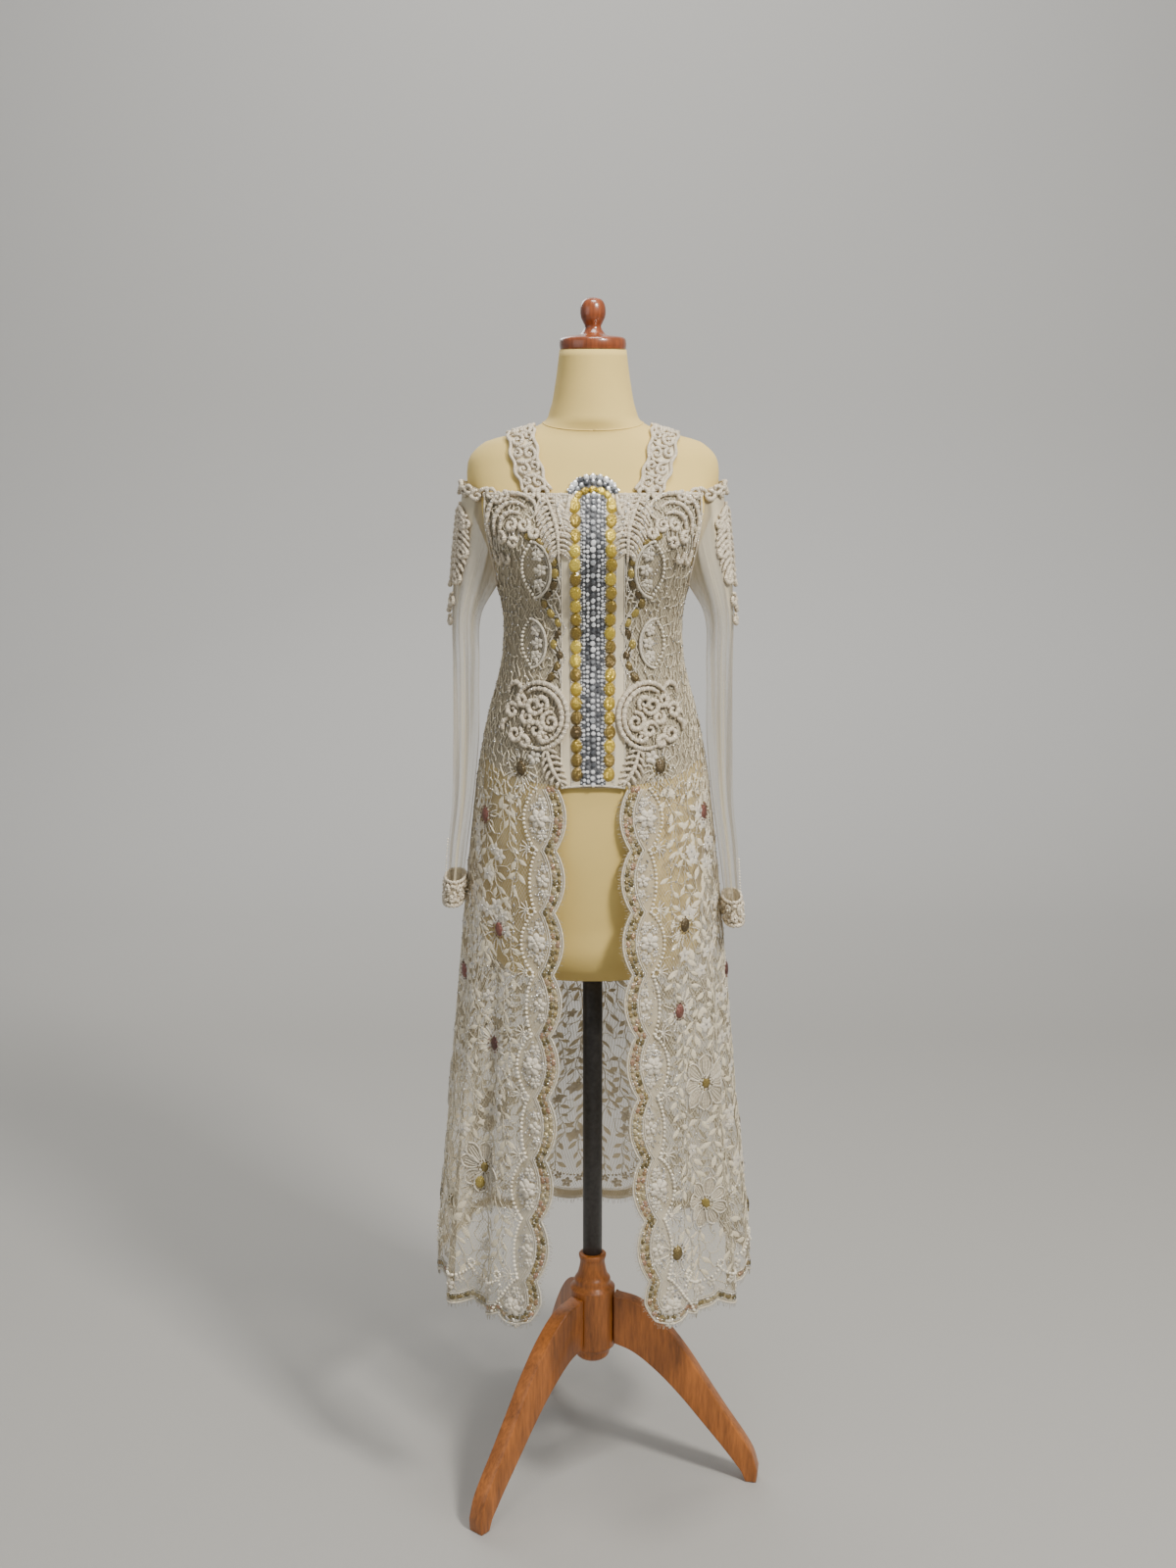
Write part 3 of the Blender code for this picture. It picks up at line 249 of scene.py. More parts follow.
def joined(*columns):
    """Numbers side by side along a new last axis, single ones repeated."""
    return np.stack(np.broadcast_arrays(*columns), axis=-1)


class Chart:
    """A stretch of cloth as a grid of points, even in two flat coordinates a and b."""

    def __init__(self, points, a_start, a_step, b_start, b_step, flip=False):
        self.points = points
        self.a_start, self.a_step = a_start, a_step
        self.b_start, self.b_step = b_start, b_step
        normals = np.cross(np.gradient(points, axis=0), np.gradient(points, axis=1))
        normals /= np.maximum(np.linalg.norm(normals, axis=2, keepdims=True), 1e-12)
        self.normals = -normals if flip else normals

    def at(self, a, b, lift=0.0):
        """Points on the cloth at flat places, raised off it by lift."""
        rows, columns = self.points.shape[:2]
        i = np.clip((np.asarray(b, float) - self.b_start) / self.b_step, 0, rows - 1.001)
        j = np.clip((np.asarray(a, float) - self.a_start) / self.a_step, 0, columns - 1.001)
        i, j = np.broadcast_arrays(i, j)
        low, left = i.astype(int), j.astype(int)
        down, over = (i - low)[..., None], (j - left)[..., None]

        def mixed(grid):
            top = grid[low, left] * (1 - over) + grid[low, left + 1] * over
            bottom = grid[low + 1, left] * (1 - over) + grid[low + 1, left + 1] * over
            return top * (1 - down) + bottom * down

        return mixed(self.points) + mixed(self.normals) * np.asarray(lift, float)[..., None]


CHART_TOP_Z, CHART_END_Z, CHART_ROW = 1.472, 0.312, 0.004
CHART_COLUMN = 0.003
BODY_LONGEST = 0.76
QUARTER = 161  # sections of the lace from centre front to the side, of twice that less 1


def body_rows(side_name, heights):
    """x and y of one half of the lace, from centre front round to centre back, for each height."""
    share = np.linspace(0.0, 2.0, 2 * QUARTER - 1)[None, :]
    z = np.asarray(heights, float)[:, None]
    form_x, form_y = form_xy(share, z, LACE_PUSH)
    bell_x, bell_y = bell_xy(side_name, share, z, BELL_PUSH)
    bell = smooth(BELL_TOP_Z - z, 0.0, BELL_TOP_Z - WAIST_SPLIT_Z)
    return form_x * (1 - bell) + bell_x * bell, form_y * (1 - bell) + bell_y * bell


class Body(Chart):
    """Half of the lace. a is the distance from centre front along the cloth, b the height."""

    def __init__(self, side_name):
        self.side = SIDES[side_name]
        self.heights = np.arange(CHART_TOP_Z, CHART_END_Z, -CHART_ROW)
        x, y = body_rows(side_name, self.heights)
        steps = np.hypot(np.diff(x, axis=1), np.diff(y, axis=1))
        along = np.hstack([np.zeros((len(x), 1)), np.cumsum(steps, axis=1)])
        self.x, self.along = x, along
        a = np.arange(0.0, BODY_LONGEST, CHART_COLUMN)
        grid = np.array([
            joined(self.side * np.interp(a, run, x_row), np.interp(a, run, y_row), height)
            for run, x_row, y_row, height in zip(along, x, y, self.heights)
        ])
        grid += POLE_PLACE
        super().__init__(grid, 0.0, CHART_COLUMN, CHART_TOP_Z, -CHART_ROW, flip=self.side < 0)
        middle = x.shape[1] // 2
        self.sides, self.ends = along[:, middle], along[:, -1]

    def side_at(self, height):
        """Distance of the side seam."""
        return np.interp(-np.asarray(height, float), -self.heights, self.sides)

    def end_at(self, height):
        """Distance of the centre back."""
        return np.interp(-np.asarray(height, float), -self.heights, self.ends)

    def from_x(self, across, height):
        """Distance along the cloth of a place in front, given by its distance from the centre plane."""
        across, height = np.broadcast_arrays(np.asarray(across, float), np.asarray(height, float))
        rows = np.clip((CHART_TOP_Z - height) / CHART_ROW, 0, len(self.heights) - 1)
        found = [
            np.interp(x, self.x[int(r), :QUARTER], self.along[int(r), :QUARTER])
            for x, r in zip(across.ravel(), rows.ravel())
        ]
        return np.array(found).reshape(across.shape)


class Batch:
    """Collects small shapes that become one mesh. Flat holds two numbers for each point."""

    def __init__(self):
        self.points, self.faces, self.flat = [], [], []
        self.count = 0

    def add(self, points, faces, flat=None):
        points = np.asarray(points, float).reshape(-1, 3)
        self.points.append(points)
        self.faces.append(np.asarray(faces, int) + self.count)
        self.flat.append(np.zeros((len(points), 2)) if flat is None else np.reshape(flat, (-1, 2)))
        self.count += len(points)


def piece(name, batch, look, replaced=(), sharp=False):
    """Turns a batch into a piece of the part that rides on the body."""
    mesh = bpy.data.meshes.new(name)
    faces = [face for block in batch.faces for face in block.tolist()]
    mesh.from_pydata(np.vstack(batch.points).tolist(), [], faces)
    corners = np.empty(len(mesh.loops), np.int32)
    mesh.loops.foreach_get("vertex_index", corners)
    layer = mesh.uv_layers.new(name="flat")
    layer.data.foreach_set("uv", np.vstack(batch.flat)[corners].astype(np.float32).ravel())
    if not sharp:
        mesh.shade_smooth()
    mesh.materials.append(look)
    made = bpy.data.objects.new(name, mesh)
    return dressed(made, replaced)


def dressed(made, replaced=()):
    if not made.users_collection:
        bpy.context.scene.collection.objects.link(made)
    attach(made, "root")
    if replaced:
        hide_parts(*replaced)
    return made


def panel_pieces(name, side_name, batch, look):
    """Work on half of the lace, parted at the side seam: a piece on the front panel, one on the back."""
    points, flat = np.vstack(batch.points), np.vstack(batch.flat)
    for facing in ("front", "back"):
        part = Batch()
        for block in batch.faces:
            ahead = points[block[:, 0], 1] < POLE_PLACE[1]
            used, index = np.unique(block[ahead == (facing == "front")], return_inverse=True)
            if len(used):
                part.add(points[used], index.reshape(-1, block.shape[1]), flat[used])
        if part.count:
            piece(f"{name}_{facing}_{side_name}", part, look)


def grid_faces(rows, columns, wrap=False):
    i, j = np.meshgrid(np.arange(rows - 1), np.arange(columns if wrap else columns - 1), indexing="ij")
    a = i * columns + j
    b = i * columns + (j + 1) % columns
    return np.stack([a, b, b + columns, a + columns], axis=-1).reshape(-1, 4)


def curve(points, step=0.003):
    """Even places along a smooth curve through the given ones."""
    points = np.asarray(points, float)
    if len(points) == 2:
        count = max(int(np.linalg.norm(points[1] - points[0]) / step), 1)
        return points[0] + np.linspace(0, 1, count + 1)[:, None] * (points[1] - points[0])
    ends = np.vstack([2 * points[0] - points[1], points, 2 * points[-1] - points[-2]])
    t = np.linspace(0, 1, 9)[:-1, None]
    p0, p1, p2, p3 = (ends[k : len(ends) - 3 + k, None, :] for k in range(4))
    square = 2 * p0 - 5 * p1 + 4 * p2 - p3
    cube = 3 * p1 - p0 - 3 * p2 + p3
    smooth_line = 0.5 * (2 * p1 + (p2 - p0) * t + square * t**2 + cube * t**3)
    line = np.vstack([smooth_line.reshape(-1, points.shape[1]), points[-1:]])
    return resample(line, step)


def resample(line, step):
    lengths = np.concatenate([[0], np.cumsum(np.linalg.norm(np.diff(line, axis=0), axis=1))])
    count = max(int(round(lengths[-1] / step)), 2)
    at = np.linspace(0, lengths[-1], count + 1)
    return joined(*(np.interp(at, lengths, column) for column in line.T))


def arc(middle, radii, begin, end, tilt=0.0, count=24):
    """Places along an arc of an ellipse. Angles are in degrees."""
    turn = np.radians(np.linspace(begin, end, count))
    x, y = radii[0] * np.cos(turn), radii[1] * np.sin(turn)
    c, s = math.cos(math.radians(tilt)), math.sin(math.radians(tilt))
    return joined(middle[0] + c * x - s * y, middle[1] + s * x + c * y)


def spiral(middle, radius_out, radius_in, begin, sweep, count=30):
    turn = np.radians(begin + sweep * np.linspace(0, 1, count))
    radius = np.linspace(radius_out, radius_in, count)
    return joined(middle[0] + radius * np.cos(turn), middle[1] + radius * np.sin(turn))


def tube(batch, line, normals, radius, sides, flatten=1.0):
    """A round cord along points in space, closed at its ends."""
    along = np.gradient(line, axis=0)
    along /= np.maximum(np.linalg.norm(along, axis=1, keepdims=True), 1e-12)
    across = np.cross(along, normals)
    across /= np.maximum(np.linalg.norm(across, axis=1, keepdims=True), 1e-12)
    up = np.cross(across, along)
    turn = 2 * math.pi * np.arange(sides) / sides
    radius = np.broadcast_to(radius, (len(line),))[:, None, None]
    turn = turn[None, :, None]
    ring = np.cos(turn) * across[:, None] + flatten * np.sin(turn) * up[:, None]
    points = line[:, None] + radius * ring
    run = np.concatenate([[0], np.cumsum(np.linalg.norm(np.diff(line, axis=0), axis=1))])
    flat = joined((np.arange(sides) / sides)[None, :], run[:, None])
    start = batch.count
    batch.add(points, grid_faces(len(line), sides, wrap=True), flat)
    last = (len(line) - 1) * sides
    fan = np.array([(0, k + 1, k) for k in range(1, sides - 1)])
    batch.faces.append(fan + start)
    batch.faces.append(fan[:, ::-1] + start + last)


def strand(batch, chart, path, radius, sides=5, lift=0.0, taper=False, flatten=1.0):
    """A cord sewn down along a path of flat places."""
    path = np.asarray(path, float)
    width = np.full(len(path), 1.0) * radius
    if taper:
        width *= 0.35 + 0.65 * np.sin(np.linspace(0.15, 1, len(path)) * math.pi * 0.93)
    heights = lift + width * flatten * 0.8
    line = chart.at(path[:, 0], path[:, 1], heights)
    base = chart.at(path[:, 0], path[:, 1], heights + 0.002)
    tube(batch, line, base - line, width, sides, flatten)


def stamp(batch, chart, shape, spots, lift=0.0):
    """Copies of a small shape on a chart. A spot is a, b, turn in degrees, width, length, height."""
    points, faces, flat = shape
    spots = np.atleast_2d(np.asarray(spots, float))
    a, b, turn, wide, long, tall = (spots[:, k : k + 1] for k in range(6))
    c, s = np.cos(np.radians(turn)), np.sin(np.radians(turn))
    x, y, h = points[:, 0] * wide, points[:, 1] * long, points[:, 2] * tall
    placed = chart.at(a + c * x - s * y, b + s * x + c * y, lift + h)
    offsets = (np.arange(len(spots)) * len(points))[:, None, None]
    batch.add(placed, (faces[None] + offsets).reshape(-1, faces.shape[1]), np.tile(flat, (len(spots), 1)))


def ball_shape(detail):
    made = bmesh.new()
    bmesh.ops.create_icosphere(made, subdivisions=detail, radius=0.5)
    points = np.array([v.co for v in made.verts]) + (0, 0, 0.45)
    faces = np.array([[v.index for v in face.verts] for face in made.faces])
    made.free()
    return points, faces, np.zeros((len(points), 2))


def dome_shape(sides, rings=((1.0, 0.0), (0.86, 0.55), (0.5, 0.92)), top=1.0):
    """A round cabochon of width and length 1: rings of radius and height, then the top."""
    turn = 2 * math.pi * np.arange(sides) / sides
    points = [(0.5 * r * math.cos(t), 0.5 * r * math.sin(t), h) for r, h in rings for t in turn]
    points.append((0, 0, top))
    faces = [
        (i * sides + k, i * sides + (k + 1) % sides, (i + 1) * sides + (k + 1) % sides)
        for i in range(len(rings) - 1) for k in range(sides)
    ]
    faces += [
        (i * sides + k, (i + 1) * sides + (k + 1) % sides, (i + 1) * sides + k)
        for i in range(len(rings) - 1) for k in range(sides)
    ]
    last = (len(rings) - 1) * sides
    faces += [(last + k, last + (k + 1) % sides, len(points) - 1) for k in range(sides)]
    points = np.array(points)
    return points, np.array(faces), points[:, :2] + 0.5


def gem_shape(sides):
    """A cut stone: girdle, slanted crown facets that alternate, and a flat table."""
    turn = 2 * math.pi * np.arange(sides) / sides
    points = [(0.5 * math.cos(t), 0.5 * math.sin(t), 0.15) for t in turn]
    points += [(0.31 * math.cos(t), 0.31 * math.sin(t), 0.9) for t in turn + math.pi / sides]
    points += [(0.45 * math.cos(t), 0.45 * math.sin(t), 0.0) for t in turn]
    points.append((0, 0, 1.0))
    faces = []
    for k in range(sides):
        after = (k + 1) % sides
        faces += [(k, after, sides + k), (after, sides + after, sides + k)]
        faces += [(2 * sides + k, 2 * sides + after, k), (2 * sides + after, after, k)]
        faces.append((sides + k, sides + after, 3 * sides))
    points = np.array(points)
    return points, np.array(faces), points[:, :2] + 0.5


def leaf_shape():
    """A pointed leaf from (0, 0) to (0, 1), 1 wide, with a raised middle."""
    rows = ((0.10, 0.32), (0.38, 0.98), (0.62, 0.90), (0.86, 0.42))
    points = [(0, 0, 0.2)]
    for along, wide in rows:
        points += [(-wide / 2, along, 0.05), (0, along, 1.0), (wide / 2, along, 0.05)]
    points.append((0, 1, 0.1))
    faces = [(0, 2, 1), (0, 3, 2)]
    for i in range(len(rows) - 1):
        k = 1 + 3 * i
        for j in (k, k + 1):
            faces += [(j, j + 1, j + 4), (j, j + 4, j + 3)]
    k = 1 + 3 * (len(rows) - 1)
    faces += [(k, k + 1, len(points) - 1), (k + 1, k + 2, len(points) - 1)]
    points = np.array(points)
    return points, np.array(faces), points[:, :2] + (0.5, 0)


BALL = dome_shape(8, rings=((0.78, 0.0), (1.0, 0.38), (0.72, 0.84)))
BEAD = ball_shape(1)
OVAL = dome_shape(10)
DISC = dome_shape(8, rings=((1.0, 0.0), (0.8, 0.7)), top=0.9)
GEM = gem_shape(8)
LEAF = leaf_shape()


class Look:
    """A procedural material: short calls add nodes, and named sockets take what they give."""

    def __init__(self, name, colour, roughness, **settings):
        self.material = bpy.data.materials.new(name)
        self.material.use_nodes = True
        self.tree = self.material.node_tree
        self.shader = self.tree.nodes["Principled BSDF"]
        self.shader.inputs["Base Color"].default_value = (*colour, 1.0)
        self.shader.inputs["Roughness"].default_value = roughness
        for socket, value in settings.items():
            self.shader.inputs[socket.replace("_", " ")].default_value = value
        self.colour = colour
        self.place = self.tree.nodes.new("ShaderNodeTexCoord")

    def add(self, kind, links=(), **values):
        node = self.tree.nodes.new("ShaderNode" + kind)
        for name, value in values.items():
            if hasattr(node, name):
                setattr(node, name, value)
            else:
                node.inputs[name.replace("_", " ")].default_value = value
        for socket, source in dict(links).items():
            self.tree.links.new(source, node.inputs[socket])
        return node

    def noise(self, scale, detail=2.0, rough=0.5, source="Object"):
        return self.add(
            "TexNoise", {"Vector": self.place.outputs[source]}, Scale=scale, Detail=detail, Roughness=rough
        ).outputs["Fac"]

    def cells(self, scale, feature="F1", source="Object"):
        made = self.add("TexVoronoi", {"Vector": self.place.outputs[source]}, Scale=scale, feature=feature)
        return made.outputs["Distance"]

    def math(self, operation, first, second=0.5, third=None):
        node = self.add("Math", operation=operation)
        for i, value in enumerate((first, second, third)):
            if value is None:
                continue
            if isinstance(value, (int, float)):
                node.inputs[i].default_value = value
            else:
                self.tree.links.new(value, node.inputs[i])
        return node.outputs[0]

    def blend(self, first, second, share):
        """Share of the first value, and the rest of the second."""
        rest = self.math("MULTIPLY", second, 1 - share)
        return self.math("MULTIPLY_ADD", first, share, rest)

    def times(self, first, second):
        """Mixes two colours by multiplying them."""
        node = self.add("Mix", data_type="RGBA", blend_type="MULTIPLY")
        node.inputs[0].default_value = 1.0
        self.tree.links.new(first, node.inputs[6])
        self.tree.links.new(second, node.inputs[7])
        return node

    def ramp(self, source, stops):
        node = self.add("ValToRGB", {"Fac": source})
        while len(node.color_ramp.elements) < len(stops):
            node.color_ramp.elements.new(0.5)
        for element, (at, colour) in zip(node.color_ramp.elements, stops):
            element.position = at
            element.color = (*colour, 1.0) if hasattr(colour, "__len__") else (colour, colour, colour, 1.0)
        return node.outputs["Color"]

    def tint(self, source, dark, light, low=0.3, high=0.7):
        """Colours the surface from a darker to a lighter shade of its own colour."""
        stops = [(low, tuple(c * dark for c in self.colour)), (high, tuple(c * light for c in self.colour))]
        self.link(self.ramp(source, stops), "Base Color")

    def bump(self, source, height, strength=1.0):
        node = self.add("Bump", {"Height": source}, Strength=strength, Distance=height)
        previous = self.shader.inputs["Normal"]
        if previous.is_linked:
            self.tree.links.new(previous.links[0].from_socket, node.inputs["Normal"])
        self.link(node.outputs["Normal"], "Normal")

    def glints(self, scale, size, bright, rough):
        """Paints highlights: brightens the base colour on small specks as painted glints, and polishes them."""
        painted_sparkle = self.ramp(self.cells(scale), [(size * 0.6, bright), (size, 0.90)])
        base = self.shader.inputs["Base Color"].links[0].from_socket
        self.link(self.times(base, painted_sparkle).outputs[2], "Base Color")
        own = self.shader.inputs["Roughness"].default_value
        self.link(self.ramp(self.cells(scale), [(size * 0.6, rough), (size, own)]), "Roughness")

    def link(self, source, socket):
        self.tree.links.new(source, self.shader.inputs[socket])

    def axis(self, source, name):
        node = self.add("SeparateXYZ", {"Vector": self.place.outputs[source]})
        return node.outputs[name]

    def stripes(self, source, name, pitch):
        """A soft wave across an axis, from 0 to 1, one every pitch."""
        turn = self.math("MULTIPLY", self.axis(source, name), 2 * math.pi / pitch)
        return self.math("MULTIPLY_ADD", self.math("SINE", turn), 0.5, 0.5)

    def island(self):
        return self.add("NewGeometry").outputs["Random Per Island"]


def jersey_look():
    look = Look("cream_jersey", (0.74, 0.545, 0.17), 0.88, Sheen_Weight=0.10, Sheen_Roughness=0.5)
    knit = look.math("MULTIPLY", look.stripes("Object", "X", 0.0011), look.stripes("Object", "Z", 0.0009))
    look.tint(look.blend(look.noise(9, 3), knit, 0.8), 0.90, 1.05)
    look.bump(knit, 0.0002, 0.5)
    look.bump(look.noise(700, 2), 0.0002, 0.4)
    return look.material


def wood_look(name, colour, roughness, coat, grain_axis):
    look = Look(name, colour, roughness, Coat_Weight=coat, Coat_Roughness=0.12)
    stretch = look.add("Mapping", {"Vector": look.place.outputs["Object"]})
    stretch.inputs["Scale"].default_value = tuple(0.12 if k == grain_axis else 1.0 for k in range(3))
    run = {"Vector": stretch.outputs["Vector"]}
    grain = look.add("TexNoise", run, Scale=260.0, Detail=5.0, Roughness=0.6).outputs["Fac"]
    broad = look.add("TexNoise", run, Scale=45.0, Detail=2.0).outputs["Fac"]
    look.tint(look.blend(grain, broad, 0.55), 0.55, 1.35, 0.36, 0.64)
    look.bump(grain, 0.0003, 0.35)
    return look.material


def metal_look():
    look = Look("dark_tube", (0.055, 0.052, 0.05), 0.38, Metallic=0.5)
    look.tint(look.noise(160, 4), 0.8, 1.25)
    look.bump(look.noise(900, 2), 0.00008, 0.4)
    return look.material


# Its default colour is ivory satin darkened to a tan: painted shade for the lining seen in the gaps of the lace
def lining_look(name="ivory_satin_painted_shade", colour=(0.37, 0.315, 0.215)):
    look = Look(name, colour, 0.55, Sheen_Weight=0.08)
    weave = look.math("ADD", look.stripes("UV", "X", 0.0008), look.stripes("UV", "Y", 0.0008))
    look.tint(look.noise(28, 4), 0.86, 1.08)
    look.bump(weave, 0.00012, 0.4)
    look.bump(look.noise(60, 3), 0.0009, 0.35)
    return look.material


def net_look(name, colour, pitch, thread, gap):
    """Diamond net: threads between holes, from the flat places kept in the UVs. Gap is a hole's cover."""
    look = Look(name, colour, 0.7, Sheen_Weight=0.08)
    across, along = look.axis("UV", "X"), look.math("MULTIPLY", look.axis("UV", "Y"), 0.62)
    threads = None
    for operation in ("ADD", "SUBTRACT"):
        turn = look.math("MULTIPLY", look.math(operation, across, along), math.pi / pitch)
        line = look.math("SUBTRACT", thread, look.math("ABSOLUTE", look.math("SINE", turn)))
        cover = look.math("GREATER_THAN", line, 0.0)
        threads = cover if threads is None else look.math("MAXIMUM", threads, cover)
    patch = look.math("MULTIPLY_ADD", look.noise(26, 3), 0.5, gap - 0.25)
    look.link(look.math("MAXIMUM", threads, patch), "Alpha")
    look.tint(look.noise(70, 3), 0.85, 1.1)
    return look.material


def tulle_look():
    look = Look("sheer_tulle", (0.58, 0.50, 0.34), 0.6, Sheen_Weight=0.15)
    run = look.add("Mapping", {"Vector": look.place.outputs["UV"]})
    run.inputs["Scale"].default_value = (38.0, 1.6, 1.0)
    folds = look.add("TexNoise", {"Vector": run.outputs["Vector"]}, Scale=1.0, Detail=3.0).outputs["Fac"]
    mesh = look.math("MULTIPLY", look.stripes("UV", "X", 0.0012), look.stripes("UV", "Y", 0.0012))
    # The cloth is fuller near the armhole, from 1.22 m up
    rise = look.math("MULTIPLY", look.math("SUBTRACT", look.axis("Object", "Z"), 1.22), 8.0)
    near_seam = look.math("MULTIPLY", look.math("MINIMUM", look.math("MAXIMUM", rise, 0.0), 1.0), 0.40)
    folded = look.ramp(folds, [(0.40, 0.07), (0.50, 0.18), (0.56, 0.54), (0.68, 0.68)])
    cover = look.math("ADD", folded, near_seam)
    look.link(look.math("MULTIPLY_ADD", mesh, 0.12, cover), "Alpha")
    look.tint(folds, 0.80, 1.15)
    look.bump(folds, 0.002, 0.5)
    return look.material


def cord_look(name, colour, pitch, rough=0.75):
    """Wound thread: turns slant round the cord, from the length kept in the UVs."""
    look = Look(name, colour, rough, Sheen_Weight=0.08, Sheen_Roughness=0.4)
    turns = look.math("ADD", look.axis("UV", "X"), look.math("DIVIDE", look.axis("UV", "Y"), pitch))
    wound = look.math("MULTIPLY_ADD", look.math("SINE", look.math("MULTIPLY", turns, 2 * math.pi)), 0.5, 0.5)
    look.tint(look.blend(wound, look.noise(240, 3), 0.35), 0.62, 1.14)
    # Painted highlights on the cord: small specks of brightened colour
    look.glints(190, 0.27, 1.42, 0.15)
    look.bump(wound, 0.0005, 0.7)
    look.bump(look.noise(1500, 2), 0.0003, 0.5)
    return look.material


def petal_look():
    look = Look("white_petal", (0.78, 0.70, 0.56), 0.6, Sheen_Weight=0.10)
    ribs = look.stripes("UV", "X", 0.11)
    look.tint(look.blend(ribs, look.noise(300, 2), 0.4), 0.82, 1.12)
    look.bump(ribs, 0.0006, 0.6)
    return look.material


def leaf_look(name="lace_leaf", colour=(0.74, 0.645, 0.46)):
    look = Look(name, colour, 0.7, Sheen_Weight=0.08)
    ribs = look.stripes("UV", "Y", 0.14)
    look.tint(look.blend(ribs, look.noise(400, 2), 0.3), 0.84, 1.12)
    look.bump(ribs, 0.0003, 0.5)
    return look.material


def stone_look(name, shades, roughness, metallic, sparkle=0.0, heights=None, **settings):
    """Stones or sequins: each takes its own shade from a list, darkest first, lighter with height, with a painted
    sparkle in the colour.
    """
    look = Look(name, shades[0], roughness, Metallic=metallic, **settings)
    pick = look.island()
    if heights:
        up = look.math("SUBTRACT", look.axis("Object", "Z"), heights[0])
        up = look.math("MULTIPLY", up, 0.45 / (heights[1] - heights[0]))
        pick = look.math("MULTIPLY_ADD", pick, 0.62, up)
    stops = [((k + 0.5) / len(shades), shade) for k, shade in enumerate(shades)]
    shade = look.ramp(pick, stops)
    # Painted sparkle: colour lighter near the middles of small cells and darker at their edges, mixed in by the share
    # sparkle
    painted_sparkle = look.ramp(look.cells(900, "F1"), [(0.15, 1.25), (0.6, 0.72)])
    mixed = look.times(shade, painted_sparkle)
    mixed.inputs[0].default_value = sparkle
    look.link(mixed.outputs[2], "Base Color")
    if sparkle:
        look.bump(look.cells(560, "F1"), 0.0009, 1.0)
    return look.material


def pearl_look():
    look = Look("pearl", (0.84, 0.76, 0.60), 0.18, Coat_Weight=0.6, Coat_Roughness=0.08, Sheen_Weight=0.2)
    look.tint(look.island(), 0.80, 1.12, 0.0, 1.0)
    return look.material


def floor_look(name, near, far):
    """Plain ground that grows lighter towards the backdrop, with a faint grain."""
    look = Look(name, near, 0.9)
    away = look.math("MULTIPLY_ADD", look.axis("Object", "Y"), 0.20, 0.12)
    grain = look.math("MULTIPLY_ADD", look.noise(420, 3), 0.10, -0.05)
    look.link(look.ramp(look.math("ADD", away, grain), [(0.50, near), (0.98, far)]), "Base Color")
    look.bump(look.noise(900, 2), 0.0006, 0.5)
    return look.material


LOOKS = {
    "jersey": jersey_look(),
    "cap": wood_look("lacquered_wood", (0.235, 0.058, 0.016), 0.30, 0.7, 2),
    "leg": wood_look("varnished_wood", (0.36, 0.115, 0.02), 0.42, 0.25, 2),
    "metal": metal_look(),
    # Ivory satin lining in a darkened colour: painted shade
    "lining": lining_look(),
    "facing": lining_look("cream_facing", (0.70, 0.605, 0.42)),
    "net": net_look("lace_net", (0.62, 0.535, 0.37), 0.0043, 0.20, 0.10),
    "moon": net_look("half_moon_cloth", (0.56, 0.48, 0.33), 0.0028, 0.36, 0.42),
    "band": net_look("border_cloth", (0.46, 0.37, 0.20), 0.0030, 0.40, 0.80),
    "tulle": tulle_look(),
    "cord": cord_look("guipure_cord", (0.76, 0.655, 0.49), 0.0022),
    "thin_cord": cord_look("lace_cord", (0.74, 0.65, 0.47), 0.0015),
    "white_cord": cord_look("white_cord", (0.80, 0.72, 0.57), 0.0018),
    "fringe": cord_look("fringe_thread", (0.66, 0.58, 0.43), 0.0010),
    "leaf": leaf_look(),
    "petal": petal_look(),
    "sheer_petal": leaf_look("sheer_petal", (0.50, 0.43, 0.31)),
    "pearl": pearl_look(),
    # Near-black bed under the cut stones: painted shade in the gaps between them
    "stone_bed": lining_look("stone_bed", (0.10, 0.10, 0.105)),
    "gold": stone_look(
        "gold_stone", ((0.13, 0.085, 0.03), (0.34, 0.23, 0.04), (0.66, 0.47, 0.05), (0.95, 0.73, 0.11)),
        0.14, 0.6, 0.75, (1.06, 1.44), Coat_Weight=0.5, Coat_Roughness=0.05,
    ),
    # Clear stones: each takes a random brightness from near black to white, painted sparkle and painted reflection
    # rather than a colour of the stones
    "crystal": stone_look(
        "clear_stone", ((0.12, 0.125, 0.135), (0.68, 0.70, 0.72), (1.0, 1.0, 1.0), (1.0, 1.0, 1.0)),
        0.06, 0.34, 0.0, None,
        Coat_Weight=1.0, Coat_Roughness=0.03,
    ),
    "sequin": stone_look(
        "beige_sequin", ((0.17, 0.13, 0.05), (0.34, 0.25, 0.10), (0.42, 0.24, 0.15), (0.50, 0.42, 0.24)),
        0.26, 0.35, 0.6, None, Coat_Weight=0.3, Coat_Roughness=0.1,
    ),
    "rose": stone_look(
        "rose_sequin", ((0.11, 0.042, 0.03), (0.23, 0.085, 0.06)), 0.3, 0.3, 0.6, None, Coat_Weight=0.3,
    ),
    "bronze": stone_look(
        "bronze_sequin", ((0.11, 0.075, 0.03), (0.23, 0.165, 0.05), (0.44, 0.33, 0.08)),
        0.22, 0.45, 0.6, None,
        Coat_Weight=0.4,
    ),
    "silver_bead": stone_look("silver_bead", ((0.5, 0.5, 0.5), (0.85, 0.84, 0.82)), 0.12, 0.8, 0.0),
}


BODY = {name: Body(name) for name in SIDES}


def front_edge_x(height, depth=SCALLOP_DEPTH):
    """Distance of the scalloped front edge from the centre plane."""
    notch = np.interp(height, FRONT_EDGE[:, 0], FRONT_EDGE[:, 1])
    phase = ((WAIST_SPLIT_Z - np.asarray(height, float)) / SCALLOP_Z) % 1.0
    return notch - depth * np.sin(math.pi * phase) ** SCALLOP_ROUND


